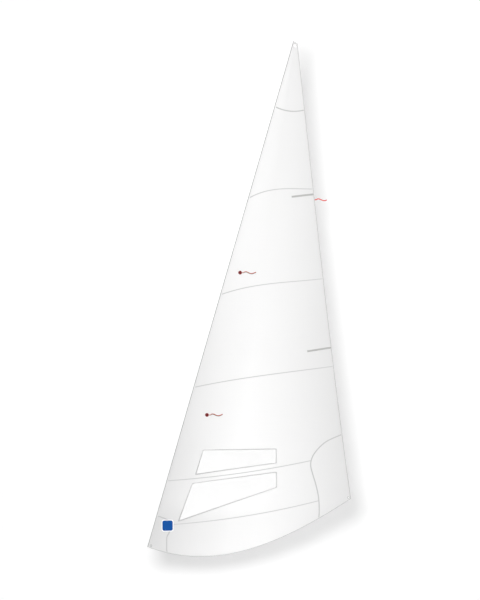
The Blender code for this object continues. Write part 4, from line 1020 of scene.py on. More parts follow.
def sail_materials(scene):
    """Every material of the sail, by the name of the piece that wears it."""
    finish, lap = scene.jib_finish, scene.jib_sewing.lap
    cloth, pocket, leech_red = finish.cloth, finish.pocket, finish.leech_red
    return {
        "panel": cloth_material("panel_cloth", cloth, finish.seam, lap),
        "patch": cloth_material("patch_cloth", cloth, finish.patch_rim, 0.012, pitch=0.0014, streaks=0.022),
        # the tape's dark rim is a grey edge line with painted shade of the fold
        "tape": cloth_material("tape_cloth", cloth, finish.edge, 0.0052, pitch=0.0008, streaks=0.02),
        "pocket": cloth_material(
            "pocket_cloth", pocket, finish.seam, 0.003, pitch=0.0009, streaks=0.03, painted_shade_amount=0.0
        ),
        "film": film_material(finish),
        "thread": thread_material(finish),
        "batten": batten_material(finish),
        "metal": metal_material("ring_metal", finish.metal, roughness=0.26, scale=260.0),
        "wire": metal_material("wire_metal", finish.wire, roughness=0.34, scale=900.0),
        "dot_port": dot_material("dot_port", finish.dark_red, finish.red),
        "dot_starboard": dot_material("dot_starboard", finish.green, finish.green),
        "ribbon_port": ribbon_material("ribbon_port", finish.red, finish.red_root, finish.red_lower_shade),
        "ribbon_starboard": ribbon_material(
            "ribbon_starboard", finish.green, finish.green_root, finish.green_lower_shade
        ),
        "ribbon_leech": ribbon_material("ribbon_leech", leech_red, leech_red, leech_red),
        "label": label_material(finish, scene.jib_fittings.label_border),
    }


class JIB_OT_sew_panels(bpy.types.Operator):
    """Sews the six cross-cut panels, with the openings for the windows and the rings"""

    bl_idname = "jib.sew_panels"
    bl_label = "Panels"

    def execute(self, context):
        form = SailForm(context.scene)
        openings = {number: WINDOWS[word] for word, number in WINDOW_PANELS.items()}
        narrower_hem = 1.7
        for number, word in enumerate(PANEL_NAMES, 1):
            low, high, luff, leech = panel_edges(form, number)
            hems = [(low, 1)] if number > 1 else []
            hems.append((high, 1))
            if number in openings:
                wide, tall = len(low) - 1, len(luff) - 1
                inner = window_sides(openings[number], wide, tall)
                outer = np.vstack([low[:-1], leech[:-1], high[::-1][:-1], luff[::-1][:-1]])
                flat, quads = around(inner, outer, max(8, tall))
                hems.append((closed(inner), narrower_hem))
            else:
                flat, quads = between(low, high, luff, leech)
                quads = off_rings(form, flat, quads)
            node_name, layer = f"panel_{number}_{word}", layer_of_panel(number)
            add_cloth(form, "cloth", node_name, flat, quads, layer, "panel", hems)
        return {"FINISHED"}


class JIB_OT_corner_patches(bpy.types.Operator):
    """Lays a patch on each side of the tack, the clew and the head"""

    bl_idname = "jib.corner_patches"
    bl_label = "Corner Patches"

    def execute(self, context):
        form = SailForm(context.scene)
        rings = 36
        for corner, (outline, free) in patch_outlines(form).items():
            x, z = form.flats[corner][:2]
            inner = ring_hole(form, corner, np.arctan2(outline[:, 1] - z, outline[:, 0] - x))
            flat, quads = around(inner, outline, rings)
            hems = [(free, 1)]
            if corner == "head":
                hems.append((form.trimmed(form.head(), 4, *form.insets), 1))
            for side, layer in (("port", -1), ("starboard", REAR_PATCH_LAYERS[corner])):
                node_name = f"{corner}_patch_{side}"
                add_cloth(form, "cloth", node_name, flat, quads, layer, "patch", hems)
        return {"FINISHED"}


class JIB_OT_windows(bpy.types.Operator):
    """Sews the clear film behind the two openings"""

    bl_idname = "jib.windows"
    bl_label = "Windows"

    def execute(self, context):
        form = SailForm(context.scene)
        long_steps, short_steps = 60, 24
        for word, opening in WINDOWS.items():
            corners = np.array(opening)
            grown = []
            for i in range(4):
                ahead, behind = corners[(i + 1) % 4] - corners[i], corners[i - 1] - corners[i]
                inwards = ahead / np.linalg.norm(ahead) + behind / np.linalg.norm(behind)
                grown.append(corners[i] - inwards / np.linalg.norm(inwards) * form.sewing.lap)
            grown = np.array(grown)
            low, leech = even(grown[[0, 1]], long_steps), even(grown[[1, 2]], short_steps)
            high, luff = even(grown[[3, 2]], long_steps), even(grown[[0, 3]], short_steps)
            flat, quads = between(low, high, luff, leech)
            node_name, layer, hems = f"window_{word}", WINDOW_LAYERS[word], [(closed(grown), 1)]
            add_cloth(form, "clear", node_name, flat, quads, layer, "film", hems)
        return {"FINISHED"}


def tape_profile(form, centre, bend, leg_at, inner_radius=None):
    """A folded tape's section as distances in from the edge and off the belly: two legs and a round
    bend, first the outside from the port leg to the starboard one, then the inside back. The bend
    is as wide as the legs stand apart, or has a radius of its own.
    """
    rings = []
    for skin in (form.sewing.cloth, 0.0):
        leg = form.stack_half - (form.sewing.cloth - skin)
        radius = leg if inner_radius is None else inner_radius + skin
        nose = np.stack([centre + radius * np.cos(bend), form.stack_middle - radius * np.sin(bend)], axis=-1)
        port = np.stack([leg_at, np.full(len(leg_at), form.stack_middle - leg)], axis=-1)
        starboard = np.stack([leg_at[::-1], np.full(len(leg_at), form.stack_middle + leg)], axis=-1)
        rings.append(np.vstack([port, nose, starboard]))
    return np.vstack([rings[0], rings[1][::-1]])


def sleeve_profile(form):
    """The luff sleeve's section, whose nose goes round the wire and further than half a turn."""
    sewing = form.sewing
    bend = np.linspace(math.radians(70), math.radians(290), 19)
    leg_at = np.linspace(sewing.luff_leg, form.nose + 0.001, 5)
    return tape_profile(form, form.wire_centre, bend, leg_at, sewing.wire / 2 + sewing.gap)


def fold_profile(form):
    """The leech and foot tapes' section, a half round between its legs."""
    bend = np.linspace(math.pi / 2, math.pi * 3 / 2, 11)
    leg_at = np.linspace(form.sewing.edge_leg, form.stack_half + 0.001, 4)
    return tape_profile(form, form.stack_half, bend, leg_at)


def carried(form, profile, place, steps):
    """A closed profile carried along an edge of the sail: place gives x and z from the distance in
    from the edge and the share of the way along, and the profile's depth is added to the belly's.
    """
    v = np.linspace(0, 1, steps + 1)[:, None]
    x, z = place(profile[None, :, 0], v)
    depth = form.belly(x, z) + profile[None, :, 1]
    size = len(profile)
    points = np.stack([x, depth, z], axis=-1).reshape(-1, 3)
    quads = side_by_side(size, steps + 1, wrap=True)
    half = size // 2
    across = np.arange(half - 1)
    start = np.stack([across, across + 1, size - 2 - across, size - 1 - across], axis=1)
    ends = np.vstack([start[:, ::-1], start + steps * size])
    hem = np.broadcast_to(profile[None, :, 0], x.shape)
    # the chord share and the share of the height place the tapes' painted shade
    traits = {"chord": form.chord_share(x, z), "rise": z / form.cut.head_height, "hem": hem}
    return points, np.vstack([quads, ends]), {label: values.ravel() for label, values in traits.items()}


def where_met(differences, at):
    """Where each row of differences, which grow along it, passes zero."""
    return np.array([np.interp(0, row, at) for row in differences])


def facing_out(points, faces):
    """The faces, turned round if the closed mesh has them pointing in."""
    a, b, c, d = (points[faces[:, i]] for i in range(4))
    volume = (a * np.cross(b, c)).sum() + (a * np.cross(c, d)).sum()
    return faces if volume > 0 else faces[:, ::-1]


class JIB_OT_edge_tapes(bpy.types.Operator):
    """Folds the luff sleeve round its wire and the tapes over the leech and the foot"""

    bl_idname = "jib.edge_tapes"
    bl_label = "Edge Tapes"

    def add_tape(self, form, node_name, profile, place, steps, flat, rim=0.7):
        """Carries a tape's profile along its edge, with a dark rim so many times the usual width: a grey
        edge line with painted shade of the fold.
        """
        points, faces, traits = carried(form, profile, place, steps)
        traits["hem"] = traits["hem"] / rim
        faces, name = facing_out(points, faces), f"sewn_{node_name}"
        made = add_piece(name, points, faces, "tape", node_name, traits=traits)
        print(f"cut {name}: {flat[0]:.3f} x {flat[1]:.3f} m")

    def execute(self, context):
        form = SailForm(context.scene)
        luff_length = math.hypot(form.cut.head_rake, form.cut.head_height)
        self.add_sleeve(form, luff_length)
        profile, width = fold_profile(form), 2 * form.sewing.edge_leg + TAPE_TURN
        self.add_leech_tapes(form, profile, width)
        self.add_foot_tape(form, profile, width)
        self.add_wire(form, luff_length)
        return {"FINISHED"}

    def add_sleeve(self, form, luff_length):
        past = 0.05
        heights = np.linspace(-past, form.cut.head_height + past, PATH_SAMPLES)

        def on_luff(inset, v):
            x = form.luff_x(heights[:, None], inset)
            low = where_met((heights[:, None] - form.foot_z(x)).T, heights)
            high = where_met((heights[:, None] - form.head_z(x)).T, heights)
            z = low + (high - low) * v
            return form.luff_x(z, inset), z

        flat = (2 * form.sewing.luff_leg + SLEEVE_TURN, luff_length)
        self.add_tape(form, "luff_sleeve", sleeve_profile(form), on_luff, 260, flat, 1.4)

    def add_leech_tapes(self, form, profile, width):
        cell = 0.02
        for word, low, high in leech_spans(form):

            def on_leech(inset, v, low=low, high=high):
                start, end = low(inset), high(inset)
                z = start + (end - start) * v
                return form.leech_x(z, inset), z

            tall = float(np.mean(high(np.zeros(1)) - low(np.zeros(1))))
            steps, flat = max(24, round(tall / cell)), (width, tall / form.leech_cos)
            self.add_tape(form, f"leech_tape_{word}", profile, on_leech, steps, flat)

    def add_foot_tape(self, form, profile, width):
        sewing, clew_aft = form.sewing, form.cut.clew_aft
        past = 0.02

        def on_foot(inset, v):
            x = np.linspace(-past, clew_aft + past, PATH_SAMPLES)
            z = form.foot_z(x[:, None], inset)
            start = where_met((x[:, None] - form.luff_x(z, sewing.luff_leg + sewing.gap)).T, x)
            end = where_met((x[:, None] - form.leech_x(z, sewing.edge_leg + sewing.gap)).T, x)
            at = start + (end - start) * v
            return at, form.foot_z(at, inset)

        x = np.linspace(0, clew_aft, PATH_SAMPLES)
        foot_length = float(np.hypot(np.diff(x), np.diff(form.foot_z(x))).sum())
        self.add_tape(form, "foot_tape", profile, on_foot, 140, (width, foot_length))

    def add_wire(self, form, luff_length):
        """A round wire beside the luff: circles carried from one end to the other, drawn in at both."""
        sewing = form.sewing
        along = np.array([form.luff_slope * form.luff_cos, 0.0, form.luff_cos])
        aft = np.array([form.luff_cos, 0.0, -form.luff_slope * form.luff_cos])
        bottom, top = sewing.wire_setback, luff_length - sewing.wire_setback
        radius = sewing.wire / 2
        rounding = np.array([0.0, 0.35, 0.7, 0.92, 1.0])
        reach = np.sqrt(1 - (1 - rounding) ** 2)
        inwards = radius * rounding * 0.4
        at = np.concatenate([bottom + inwards, top - inwards[::-1]])
        size = np.concatenate([reach, reach[::-1]]) * radius
        size = np.maximum(size, radius * 0.02)
        turn = np.linspace(0, FULL_TURN, 24, endpoint=False)
        spokes = np.cos(turn)[:, None] * aft + np.sin(turn)[:, None] * np.array([0.0, 1.0, 0.0])
        centre = aft * form.wire_centre + np.array([0.0, form.stack_middle, 0.0])
        rings = centre + at[:, None, None] * along + size[:, None, None] * spokes[None]
        add_piece("wire_in_luff", *capped_tube(rings), "wire", "luff_wire")


def capped_tube(rings):
    """The points and faces of a tube of rings of points, with one face over each end."""
    rows, columns = rings.shape[:2]
    points = rings.reshape(-1, 3)
    quads = side_by_side(columns, rows, wrap=True)
    a, b, c = (points[quads[:, i]] for i in range(3))
    first, last = np.arange(columns), np.arange(columns) + (rows - 1) * columns
    faces = quads.tolist() + [first[::-1].tolist(), last.tolist()]
    outwards = (a * np.cross(b, c)).sum() > 0
    return points, faces if outwards else [face[::-1] for face in faces]


def batten_place(form, word):
    """The leech end of a batten and its directions outwards and across, in the plane of X and Z."""
    height, _, tilt = BATTENS[word]
    out = np.array([math.cos(tilt), math.sin(tilt)])
    return np.array([float(form.leech_x(height)), height]), out, np.array([-out[1], out[0]])


def pocket_half(form):
    fittings = form.fittings
    return fittings.batten_width / 2 + fittings.batten_play + form.sewing.cloth + fittings.pocket_flange


def leech_spans(form):
    """The three stretches of leech tape, each with its lower and upper end at a distance in."""
    room = pocket_half(form) + form.sewing.gap
    heights = np.linspace(0, form.cut.head_height + 0.05, 4 * PATH_SAMPLES)

    def height_where(target, reading):
        """The height at which a reading along the leech meets its target, for each distance in."""

        def height(inset):
            lines = (form.leech_x(heights, one) for one in np.ravel(inset))
            found = [np.interp(target, reading(x), heights) for x in lines]
            return np.array(found).reshape(np.shape(inset))

        return height

    def beside(word, side):
        end, _, across = batten_place(form, word)
        return height_where(side * room, lambda x: (x - end[0]) * across[0] + (heights - end[1]) * across[1])

    def under_head(x):
        """How far each height is past the head's cut edge or the sleeve's, whichever comes first."""
        off_sleeve = (x - form.luff_x(heights, form.sewing.luff_leg)) * 4
        return heights - np.minimum(form.head_z(x), heights + off_sleeve)

    at_foot = height_where(0, lambda x: heights - form.foot_z(x))
    return (
        ("lower", at_foot, beside("lower", -1)),
        ("middle", beside("lower", 1), beside("upper", -1)),
        ("upper", beside("upper", 1), height_where(0, under_head)),
    )


class JIB_OT_battens(bpy.types.Operator):
    """Sews the two batten pockets and slides a batten into each"""

    bl_idname = "jib.battens"
    bl_label = "Battens"

    def execute(self, context):
        form = SailForm(context.scene)
        for word in BATTENS:
            self.add_pocket(form, word)
            self.add_batten(form, word)
        return {"FINISHED"}

    def add_pocket(self, form, word):
        """A strip raised off the cloth by a high power of the distance across, closed at its inner end."""
        fittings, sewing = form.fittings, form.sewing
        end, out, across = batten_place(form, word)
        inner = BATTENS[word][1] + POCKET_SPARE
        half = pocket_half(form)
        open_end = 0.0012
        closing = inner + np.linspace(0, POCKET_MARGIN, 14)
        long = np.concatenate([[0], np.linspace(open_end, inner - POCKET_SPARE, 60), closing])
        wide = half * np.sin(np.linspace(-math.pi / 2, math.pi / 2, 49))
        u, v = np.meshgrid(long, wide, indexing="ij")
        x = end[0] - out[0] * u + across[0] * v
        z = end[1] - out[1] * u + across[1] * v
        edge = form.leech_x(z, form.pitch)
        x = np.where(u == 0, edge, np.minimum(x, edge))
        channel = fittings.batten_width / 2 + fittings.batten_play + sewing.cloth * 2
        falls_from, falls_over = 0.003, 0.0036
        side_power, end_power = 14, 6
        lift = 1 - np.clip(np.abs(v) / channel, 0, 1) ** side_power
        lift = lift * (1 - np.clip((u - inner + falls_from) / falls_over, 0, 1) ** end_power)
        roof = fittings.batten_thickness + 2 * fittings.batten_play
        rear = -sewing.gap - lift * (roof - sewing.gap)
        flat = np.stack([x, z], axis=-1).reshape(-1, 2)
        depth = form.belly(flat[:, 0], flat[:, 1])
        quads = side_by_side(len(wide), len(long))
        a, b, c = (flat[quads[0, i]] for i in range(3))
        if (b[0] - a[0]) * (c[1] - a[1]) - (b[1] - a[1]) * (c[0] - a[0]) < 0:
            quads = quads[:, ::-1]
        points, faces, used = slab(flat, quads, depth + rear.ravel() - sewing.cloth, depth + rear.ravel())
        hem = np.minimum(half - np.abs(v), inner + POCKET_MARGIN - u).ravel()[used]
        traits = cloth_traits(form, flat[used], hem)
        node_name = f"batten_pocket_{word}"
        name = f"sewn_{node_name}"
        made = add_piece(name, points, faces, "pocket", node_name, traits=traits)

    def add_batten(self, form, word):
        """A flat bar with round edges: a squared-off oval carried along the slide, drawn in at its ends."""
        fittings, gap = form.fittings, form.sewing.gap
        end, out, across = batten_place(form, word)
        node_name, size = f"batten_{word}", BATTENS[word][1]
        axis = np.array(JOINTS[f"{node_name}_slide"]["axis"], float)
        middle = end - out * size / 2
        high, low = (middle + across * s * fittings.batten_width / 2 for s in (1, -1))
        tilt = float(form.belly(*high) - form.belly(*low)) / fittings.batten_width
        over = np.array([across[0], tilt, across[1]])
        over = over - axis * over.dot(axis)
        over /= np.linalg.norm(over)
        up = np.cross(axis, over)
        up = up if up[1] < 0 else -up
        seat = float(form.belly(*middle)) - fittings.batten_play - fittings.batten_thickness / 2
        centre = np.array([middle[0], seat, middle[1]])
        reach = size / 2 - gap
        turn = np.linspace(0, FULL_TURN, 40, endpoint=False)
        waves, power = np.stack([np.cos(turn), np.sin(turn)], axis=-1), 0.28
        section = np.sign(waves) * np.abs(waves) ** power
        section *= np.array([fittings.batten_width / 2, fittings.batten_thickness / 2])
        from_end = np.array([0, 0.0002, 0.0006, 0.0012])
        drawn_in = np.array([0.75, 0.93, 0.985, 1.0])
        along = np.linspace(-0.9, 0.9, 21)
        at = np.concatenate([-reach + from_end, along * reach, reach - from_end[::-1]])
        sizes = np.concatenate([drawn_in, np.ones(len(along)), drawn_in[::-1]])
        spokes = section[None, :, :1] * over + section[None, :, 1:] * up
        rings = centre + at[:, None, None] * axis + sizes[:, None, None] * spokes
        add_piece(f"rounded_{node_name}", *capped_tube(rings), "batten", node_name, body=node_name)


class JIB_OT_corner_rings(bpy.types.Operator):
    """Presses a ring and its washer into each corner"""

    bl_idname = "jib.corner_rings"
    bl_label = "Corner Rings"

    def execute(self, context):
        form = SailForm(context.scene)
        fittings, sewing = form.fittings, form.sewing
        bore, wall, gap = fittings.ring_bore, fittings.ring_wall, sewing.gap
        barrel, radius = bore + wall, fittings.ring_radius
        half, throat, edge = wall * 0.5, wall * 0.9, wall * 0.45
        for corner, (x, z, y, *_) in form.flats.items():
            normal = form.to_port(np.array(x), np.array(z))
            lean = -normal[1]
            face = -form.front_of(-1) * lean + gap
            rear = -form.back_of(REAR_PATCH_LAYERS[corner]) * lean - gap
            lip = rear - wall - gap
            ring = np.vstack(
                [
                    arc((bore + throat, face + wall * 0.1), throat, 90, 180),
                    arc((bore + half, lip - half), half, 180, 270),
                    arc((barrel + fittings.ring_lip - half, lip - half), half, 270, 450),
                    [(barrel, lip), (barrel, face)],
                    arc((radius - half, face + half), half, -90, 90),
                ]
            )
            self.turn(f"pressed_{corner}_ring", ring, (x, y, z), normal, f"{corner}_ring")
            washer = np.vstack(
                [
                    [(barrel + gap, rear - wall), (barrel + gap, rear)],
                    arc((radius - edge, rear - edge), edge, 90, 0),
                    arc((radius - edge, rear - wall + edge), edge, 0, -90),
                ]
            )
            self.turn(f"pressed_{corner}_washer", washer[::-1], (x, y, z), normal, f"{corner}_washer")
        return {"FINISHED"}

    def turn(self, name, profile, centre, normal, node_name):
        """A closed profile of radius and distance along the normal, turned once round it."""
        across = np.cross([1.0, 0.0, 0.0], normal)
        across /= np.linalg.norm(across)
        other = np.cross(normal, across)
        steps = 72
        angle = np.linspace(0, FULL_TURN, steps, endpoint=False)[:, None, None]
        spokes = np.cos(angle) * across + np.sin(angle) * other
        points = np.array(centre) + profile[None, :, :1] * spokes + profile[None, :, 1:] * normal
        columns = len(profile)
        quads = side_by_side(columns, steps, wrap=True)
        first = np.arange(columns)
        last = first + (steps - 1) * columns
        joint = np.stack([last, np.roll(last, -1), np.roll(first, -1), first], axis=1)
        points = points.reshape(-1, 3)
        faces = facing_out(points, np.vstack([quads, joint]))
        add_piece(name, points, faces, "metal", node_name)


def arc(centre, radius, start, end):
    """Seven points along part of a circle, between two angles in degrees."""
    turn = np.radians(np.linspace(start, end, 7))
    return np.stack([centre[0] + radius * np.cos(turn), centre[1] + radius * np.sin(turn)], axis=-1)


def round_square(side, corner, steps):
    """A grid from -1 to 1 each way, each of its square rings drawn in to a square with round corners:
    a ring's point is scaled until it meets the straight side or the corner's circle.
    """
    half = side / 2
    line = np.linspace(-1, 1, steps + 1)
    u, v = np.meshgrid(line, line)
    ring = np.maximum(np.abs(u), np.abs(v))
    m = np.minimum(np.abs(u), np.abs(v)) / np.maximum(ring, 1e-9)
    c, r = 1 - corner / half, corner / half
    a, b, d = 1 + m**2, -2 * c * (1 + m), 2 * c**2 - r**2
    reach = np.where(m > c, (-b + np.sqrt(np.maximum(b**2 - 4 * a * d, 0))) / (2 * a), 1.0)
    flat = np.stack([u * reach, v * reach], axis=-1).reshape(-1, 2) * half
    return flat, side_by_side(steps + 1, steps + 1), (1 - ring.ravel()) * half


class JIB_OT_telltales(bpy.types.Operator):
    """Sticks on the telltale dots and lets their ribbons stream aft"""

    bl_idname = "jib.telltales"
    bl_label = "Telltales"

    def execute(self, context):
        form = SailForm(context.scene)
        fittings = form.fittings
        for place in ("upper", "lower"):
            for side in ("port", "starboard"):
                joint = JOINTS[f"telltale_{place}_{side}_swing"]
                back = fittings.dot_diameter / 2 + fittings.ribbon_width / 2 + form.sewing.gap
                spot = np.array([joint["pos_m"][0] - back, joint["pos_m"][2]])
                self.add_dot(form, place, side, spot)
                self.add_ribbon(form, f"{place}_{side}", joint, fittings.ribbon_length, side)
        joint = JOINTS["telltale_leech_swing"]
        self.add_ribbon(form, "leech", joint, fittings.leech_ribbon, None)
        return {"FINISHED"}

    def add_dot(self, form, place, side, spot):
        diameter = form.fittings.dot_diameter
        nearly_round = diameter / 2 - 1e-6
        name, node_name = f"dot_{place}_{side}", f"telltale_dot_{place}_{side}"
        layer, look = DOT_LAYERS[side], f"dot_{side}"
        made = add_sticker(form, name, node_name, spot, diameter, nearly_round, 24, layer, look)

    def add_ribbon(self, form, word, joint, reach, side):
        """A strip along a sine wave in the plane of its swing, with a round root that the wave grows
        from, lifted off the cloth by what its swing needs and fluttering further along its length.
        """
        outwards = np.array(joint["axis"], float)
        pivot = np.array(joint["pos_m"], float)
        aft = np.array([-outwards[1], outwards[0], 0.0]) * (-1 if outwards[1] > 0 else 1)
        aft /= np.linalg.norm(aft)
        up = np.cross(aft, outwards)
        up = up if up[2] > 0 else -up
        half, columns = form.fittings.ribbon_width / 2, 9
        wave, wave_length = form.fittings.ribbon_wave, form.fittings.ribbon_wave_length
        root = -half * np.cos(np.linspace(0, math.pi / 2, 9))[:-1]
        u = np.concatenate([root, np.linspace(0, reach, 90)])
        round_root = np.sqrt(np.clip(1 - (np.minimum(u, 0) / half) ** 2, 1e-4, 1))
        grown = np.clip(u / (6 * half), 0, 1)
        rise = wave * np.sin(FULL_TURN * u / wave_length) * grown**2 * (3 - 2 * grown)
        slope = np.gradient(rise, u)
        v = np.linspace(-1, 1, columns)[None, :]
        size = np.sqrt(1 + slope**2)[:, None]
        a = u[:, None] - v * half * round_root[:, None] * slope[:, None] / size
        b = rise[:, None] + v * half * round_root[:, None] / size
        lift = self.swing_room(form, pivot, aft, up, outwards, side, reach, np.hypot(a, b))
        along = np.clip(u / reach, 0, 1)[:, None]
        height, waves, slant = LUFF_FLUTTER if side else LEECH_FLUTTER
        phase = FULL_TURN * waves * along + slant * v
        lift = lift + height * (1 - np.cos(phase) if side else np.sin(phase)) * along
        spots = pivot + a[..., None] * aft + b[..., None] * up
        under = (spots + lift[..., None] * outwards).reshape(-1, 3)
        points = np.vstack([under, under + form.fittings.ribbon_thickness * outwards])
        faces = both_sides(side_by_side(columns, len(u)), len(under))
        faces = facing_out(points - points.mean(0), faces)
        run, across = np.broadcast_to(along, a.shape).ravel(), np.broadcast_to(v, a.shape).ravel()
        traits = {"run": np.tile(run, 2), "side": np.tile(across, 2)}
        name, node_name, look = f"ribbon_{word}", f"telltale_{word}", f"ribbon_{side or 'leech'}"
        made = add_piece(name, points, faces, look, node_name, body=node_name, traits=traits)

    def swing_room(self, form, pivot, aft, up, outwards, side, reach, reaches):
        """How far off its pivot plane the ribbon lies at each distance from the pivot: the most that the
        cloth rises over that plane anywhere in the swing, and never less nearer the tip.
        """
        if side is None:
            return np.zeros_like(reaches)
        room, past_tip, rounds = 0.0004, 0.012, 5
        skin = form.front_of(0) if side == "port" else form.back_of(1)
        turns = np.radians(np.linspace(-100, 100, 41))
        at = np.linspace(0, reach + past_tip, 40)
        far, turn = np.meshgrid(at, turns, indexing="ij")
        plane = pivot + (far * np.cos(turn))[..., None] * aft + (far * np.sin(turn))[..., None] * up
        height = np.zeros(far.shape)
        for _ in range(rounds):
            spot = plane + height[..., None] * outwards
            cloth = form.belly(spot[..., 0], spot[..., 2]) + skin
            height += (cloth - spot[..., 1]) / outwards[1]
        needs = np.maximum.accumulate(height.max(1))
        return np.interp(reaches, at, needs) + room


class JIB_OT_label(bpy.types.Operator):
    """Sticks the plain label on by the tack"""

    bl_idname = "jib.label"
    bl_label = "Label"

    def execute(self, context):
        form = SailForm(context.scene)
        side, corner = form.fittings.label_size, form.fittings.label_corner
        low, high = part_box("tack_label")
        middle = np.array([(low.x + high.x) / 2, (low.z + high.z) / 2])
        made = add_sticker(form, "plain_label", "tack_label", middle, side, corner, 48, LABEL_LAYER, "label")
        return {"FINISHED"}


def sewn(form, runs, name, width):
    """Zigzag stitches: needle holes step along each run, left and right of it in turn, and a thread
    of diamond section joins them, half sunk in the cloth. A run is a path in the plane of X and Z, the
    distance of its middle from the belly, and 1 on the port side or -1 on the starboard side.
    """
    sewing = form.sewing
    all_points, all_faces, first = [], [], 0
    for path, height, facing in runs:
        size = float(np.linalg.norm(np.diff(path, axis=0), axis=1).sum())
        holes = even(path, max(2, round(size / sewing.stitch_step)))
        along = np.gradient(holes, axis=0)
        along /= np.linalg.norm(along, axis=1, keepdims=True)
        swing = np.where(np.arange(len(holes)) % 2 == 0, 0.5, -0.5)[:, None] * width
        spots = holes + np.stack([-along[:, 1], along[:, 0]], axis=-1) * swing
        x, z = spots.T
        normal = form.to_port(x, z) * facing
        lean_aft, lean_up = form.lean(x, z)
        middle = np.stack([x, form.belly(x, z) + height, z], axis=-1)
        over = np.stack([along[:, 0], lean_aft * along[:, 0] + lean_up * along[:, 1], along[:, 1]], axis=-1)
        over *= sewing.thread / 2
        high = normal * sewing.thread * 0.4
        section = np.stack([middle + over, middle + high, middle - over, middle - high], axis=1)
        quads = side_by_side(4, len(holes), wrap=True)
        ends = np.array([[3, 2, 1, 0], [0, 1, 2, 3]]) + np.array([[0], [4 * (len(holes) - 1)]])
        points, faces = section.reshape(-1, 3), np.vstack([quads, ends])
        turned = np.cross(over[0], high[0]).dot(middle[1] - middle[0]) > 0
        all_faces.append((faces if turned else faces[:, ::-1]) + first)
        all_points.append(points)
        first += len(points)
    add_piece(name, np.vstack(all_points), np.vstack(all_faces), "thread")


def inside_of(outline, points):
    """True for each point inside a closed outline, by counting the edges to its right."""
    a, b = outline, np.roll(outline, -1, axis=0)
    x, z = points[:, 0, None], points[:, 1, None]
    spans = (a[:, 1] > z) != (b[:, 1] > z)
    rise = np.where(b[:, 1] == a[:, 1], 1, b[:, 1] - a[:, 1])
    crossing = a[:, 0] + (z - a[:, 1]) / rise * (b[:, 0] - a[:, 0])
    return (spans & (x < crossing)).sum(-1) % 2 == 1


class JIB_OT_stitching(bpy.types.Operator):
    """Runs the zigzag stitches along seams, patches, windows, tapes and pockets"""

    bl_idname = "jib.stitching"
    bl_label = "Stitching"

    def execute(self, context):
        form = SailForm(context.scene)
        patches = patch_outlines(form)
        sewn(form, self.seam_runs(form, patches), "stitching_seams", form.sewing.stitch_width)
        sewn(form, self.patch_runs(form, patches), "stitching_patches", form.sewing.stitch_width)
        sewn(form, self.window_runs(form), "stitching_windows", WINDOW_STITCH)
        sewn(form, self.pocket_runs(form), "stitching_pockets", POCKET_STITCH)
        tapes = self.tape_runs(form)
        sewn(form, tapes[:2], "stitching_luff", TAPE_STITCH)
        sewn(form, tapes[2:], "stitching_leech_and_foot", TAPE_STITCH)
        return {"FINISHED"}

    def seam_runs(self, form, patches):
        """Along the middle of each lap, where no corner patch covers it."""
        sewing = form.sewing
        runs = []
        for number in range(1, len(PANEL_NAMES)):
            raised = sewing.lap / 2 if number % 2 else -sewing.lap / 2
            path = form.trimmed(form.seam(number, raised), 400, sewing.luff_leg, sewing.edge_leg)
            hidden = np.zeros(len(path), bool)
            for outline, _ in patches.values():
                hidden |= inside_of(outline, path)
            path = path[~hidden]
            runs += [(path, form.front_of(0), 1), (path, form.back_of(1), -1)]
        return runs

    def patch_runs(self, form, patches):
        """A little inside the free edge of each corner patch."""
        runs = []
        for corner, (outline, free) in patches.items():
            middle = outline.mean(0)
            along = np.gradient(free, axis=0)
            normal = np.stack([-along[:, 1], along[:, 0]], -1) / np.linalg.norm(along, axis=1, keepdims=True)
            inwards = np.sign(((middle - free) * normal).sum(1).mean())
            path = (free + normal * inwards * PATCH_STITCH_IN)[2:-2]
            runs += [(path, form.front_of(-1), 1), (path, form.back_of(REAR_PATCH_LAYERS[corner]), -1)]
        return runs

    def window_runs(self, form):
        """A little outside the four sides of each opening."""
        runs = []
        for word, opening in WINDOWS.items():
            corners = np.array(opening)
            middle = corners.mean(0)
            layer = layer_of_panel(WINDOW_PANELS[word])
            for i in range(4):
                side = corners[[i, (i + 1) % 4]]
                along = (side[1] - side[0]) / np.linalg.norm(side[1] - side[0])
                outwards = np.array([along[1], -along[0]])
                outwards = outwards * np.sign((side[0] - middle).dot(outwards))
                path = even(side + outwards * WINDOW_STITCH_OUT, 100)
                runs += [(path, form.front_of(layer), 1), (path, form.back_of(WINDOW_LAYERS[word]), -1)]
        return runs

    def pocket_runs(self, form):
        """Round the sewn margin of each batten pocket, from the leech to the inner end and back."""
        from_leech, past_batten = 0.004, 0.004
        runs = []
        for word in BATTENS:
            end, out, across = batten_place(form, word)
            side, inner = pocket_half(form) - POCKET_STITCH_IN, BATTENS[word][1] + past_batten
            turns = ((from_leech, -side), (inner, -side), (inner, side), (from_leech, side))
            path = np.array([end - out * u + across * v for u, v in turns])
            runs.append((even(path, 300), form.front_of(-1), 1))
        return runs

    def tape_runs(self, form):
        """Along the inner edge of the sleeve, of each leech tape and of the foot tape, on both faces."""
        luff_leg, edge_leg, steps = form.sewing.luff_leg, form.sewing.edge_leg, 400
        inset = edge_leg - TAPE_STITCH_IN
        heights = np.linspace(0.012, form.cut.head_height - 0.014, steps)
        paths = [form.luff_points(heights, luff_leg - TAPE_STITCH_IN)]
        for _, low, high in leech_spans(form):
            start, end = float(low(np.array(inset))), float(high(np.array(inset)))
            paths.append(form.leech_points(np.linspace(start + 0.003, end - 0.004, steps), inset))
        x = np.linspace(luff_leg + 0.006, form.cut.clew_aft - 0.022, steps)
        paths.append(np.stack([x, form.foot_z(x, inset)], axis=-1))
        faces = (form.front_of(FRONT_TAPE_LAYER), 1), (form.back_of(REAR_TAPE_LAYER), -1)
        return [(path, height, facing) for path in paths for height, facing in faces]


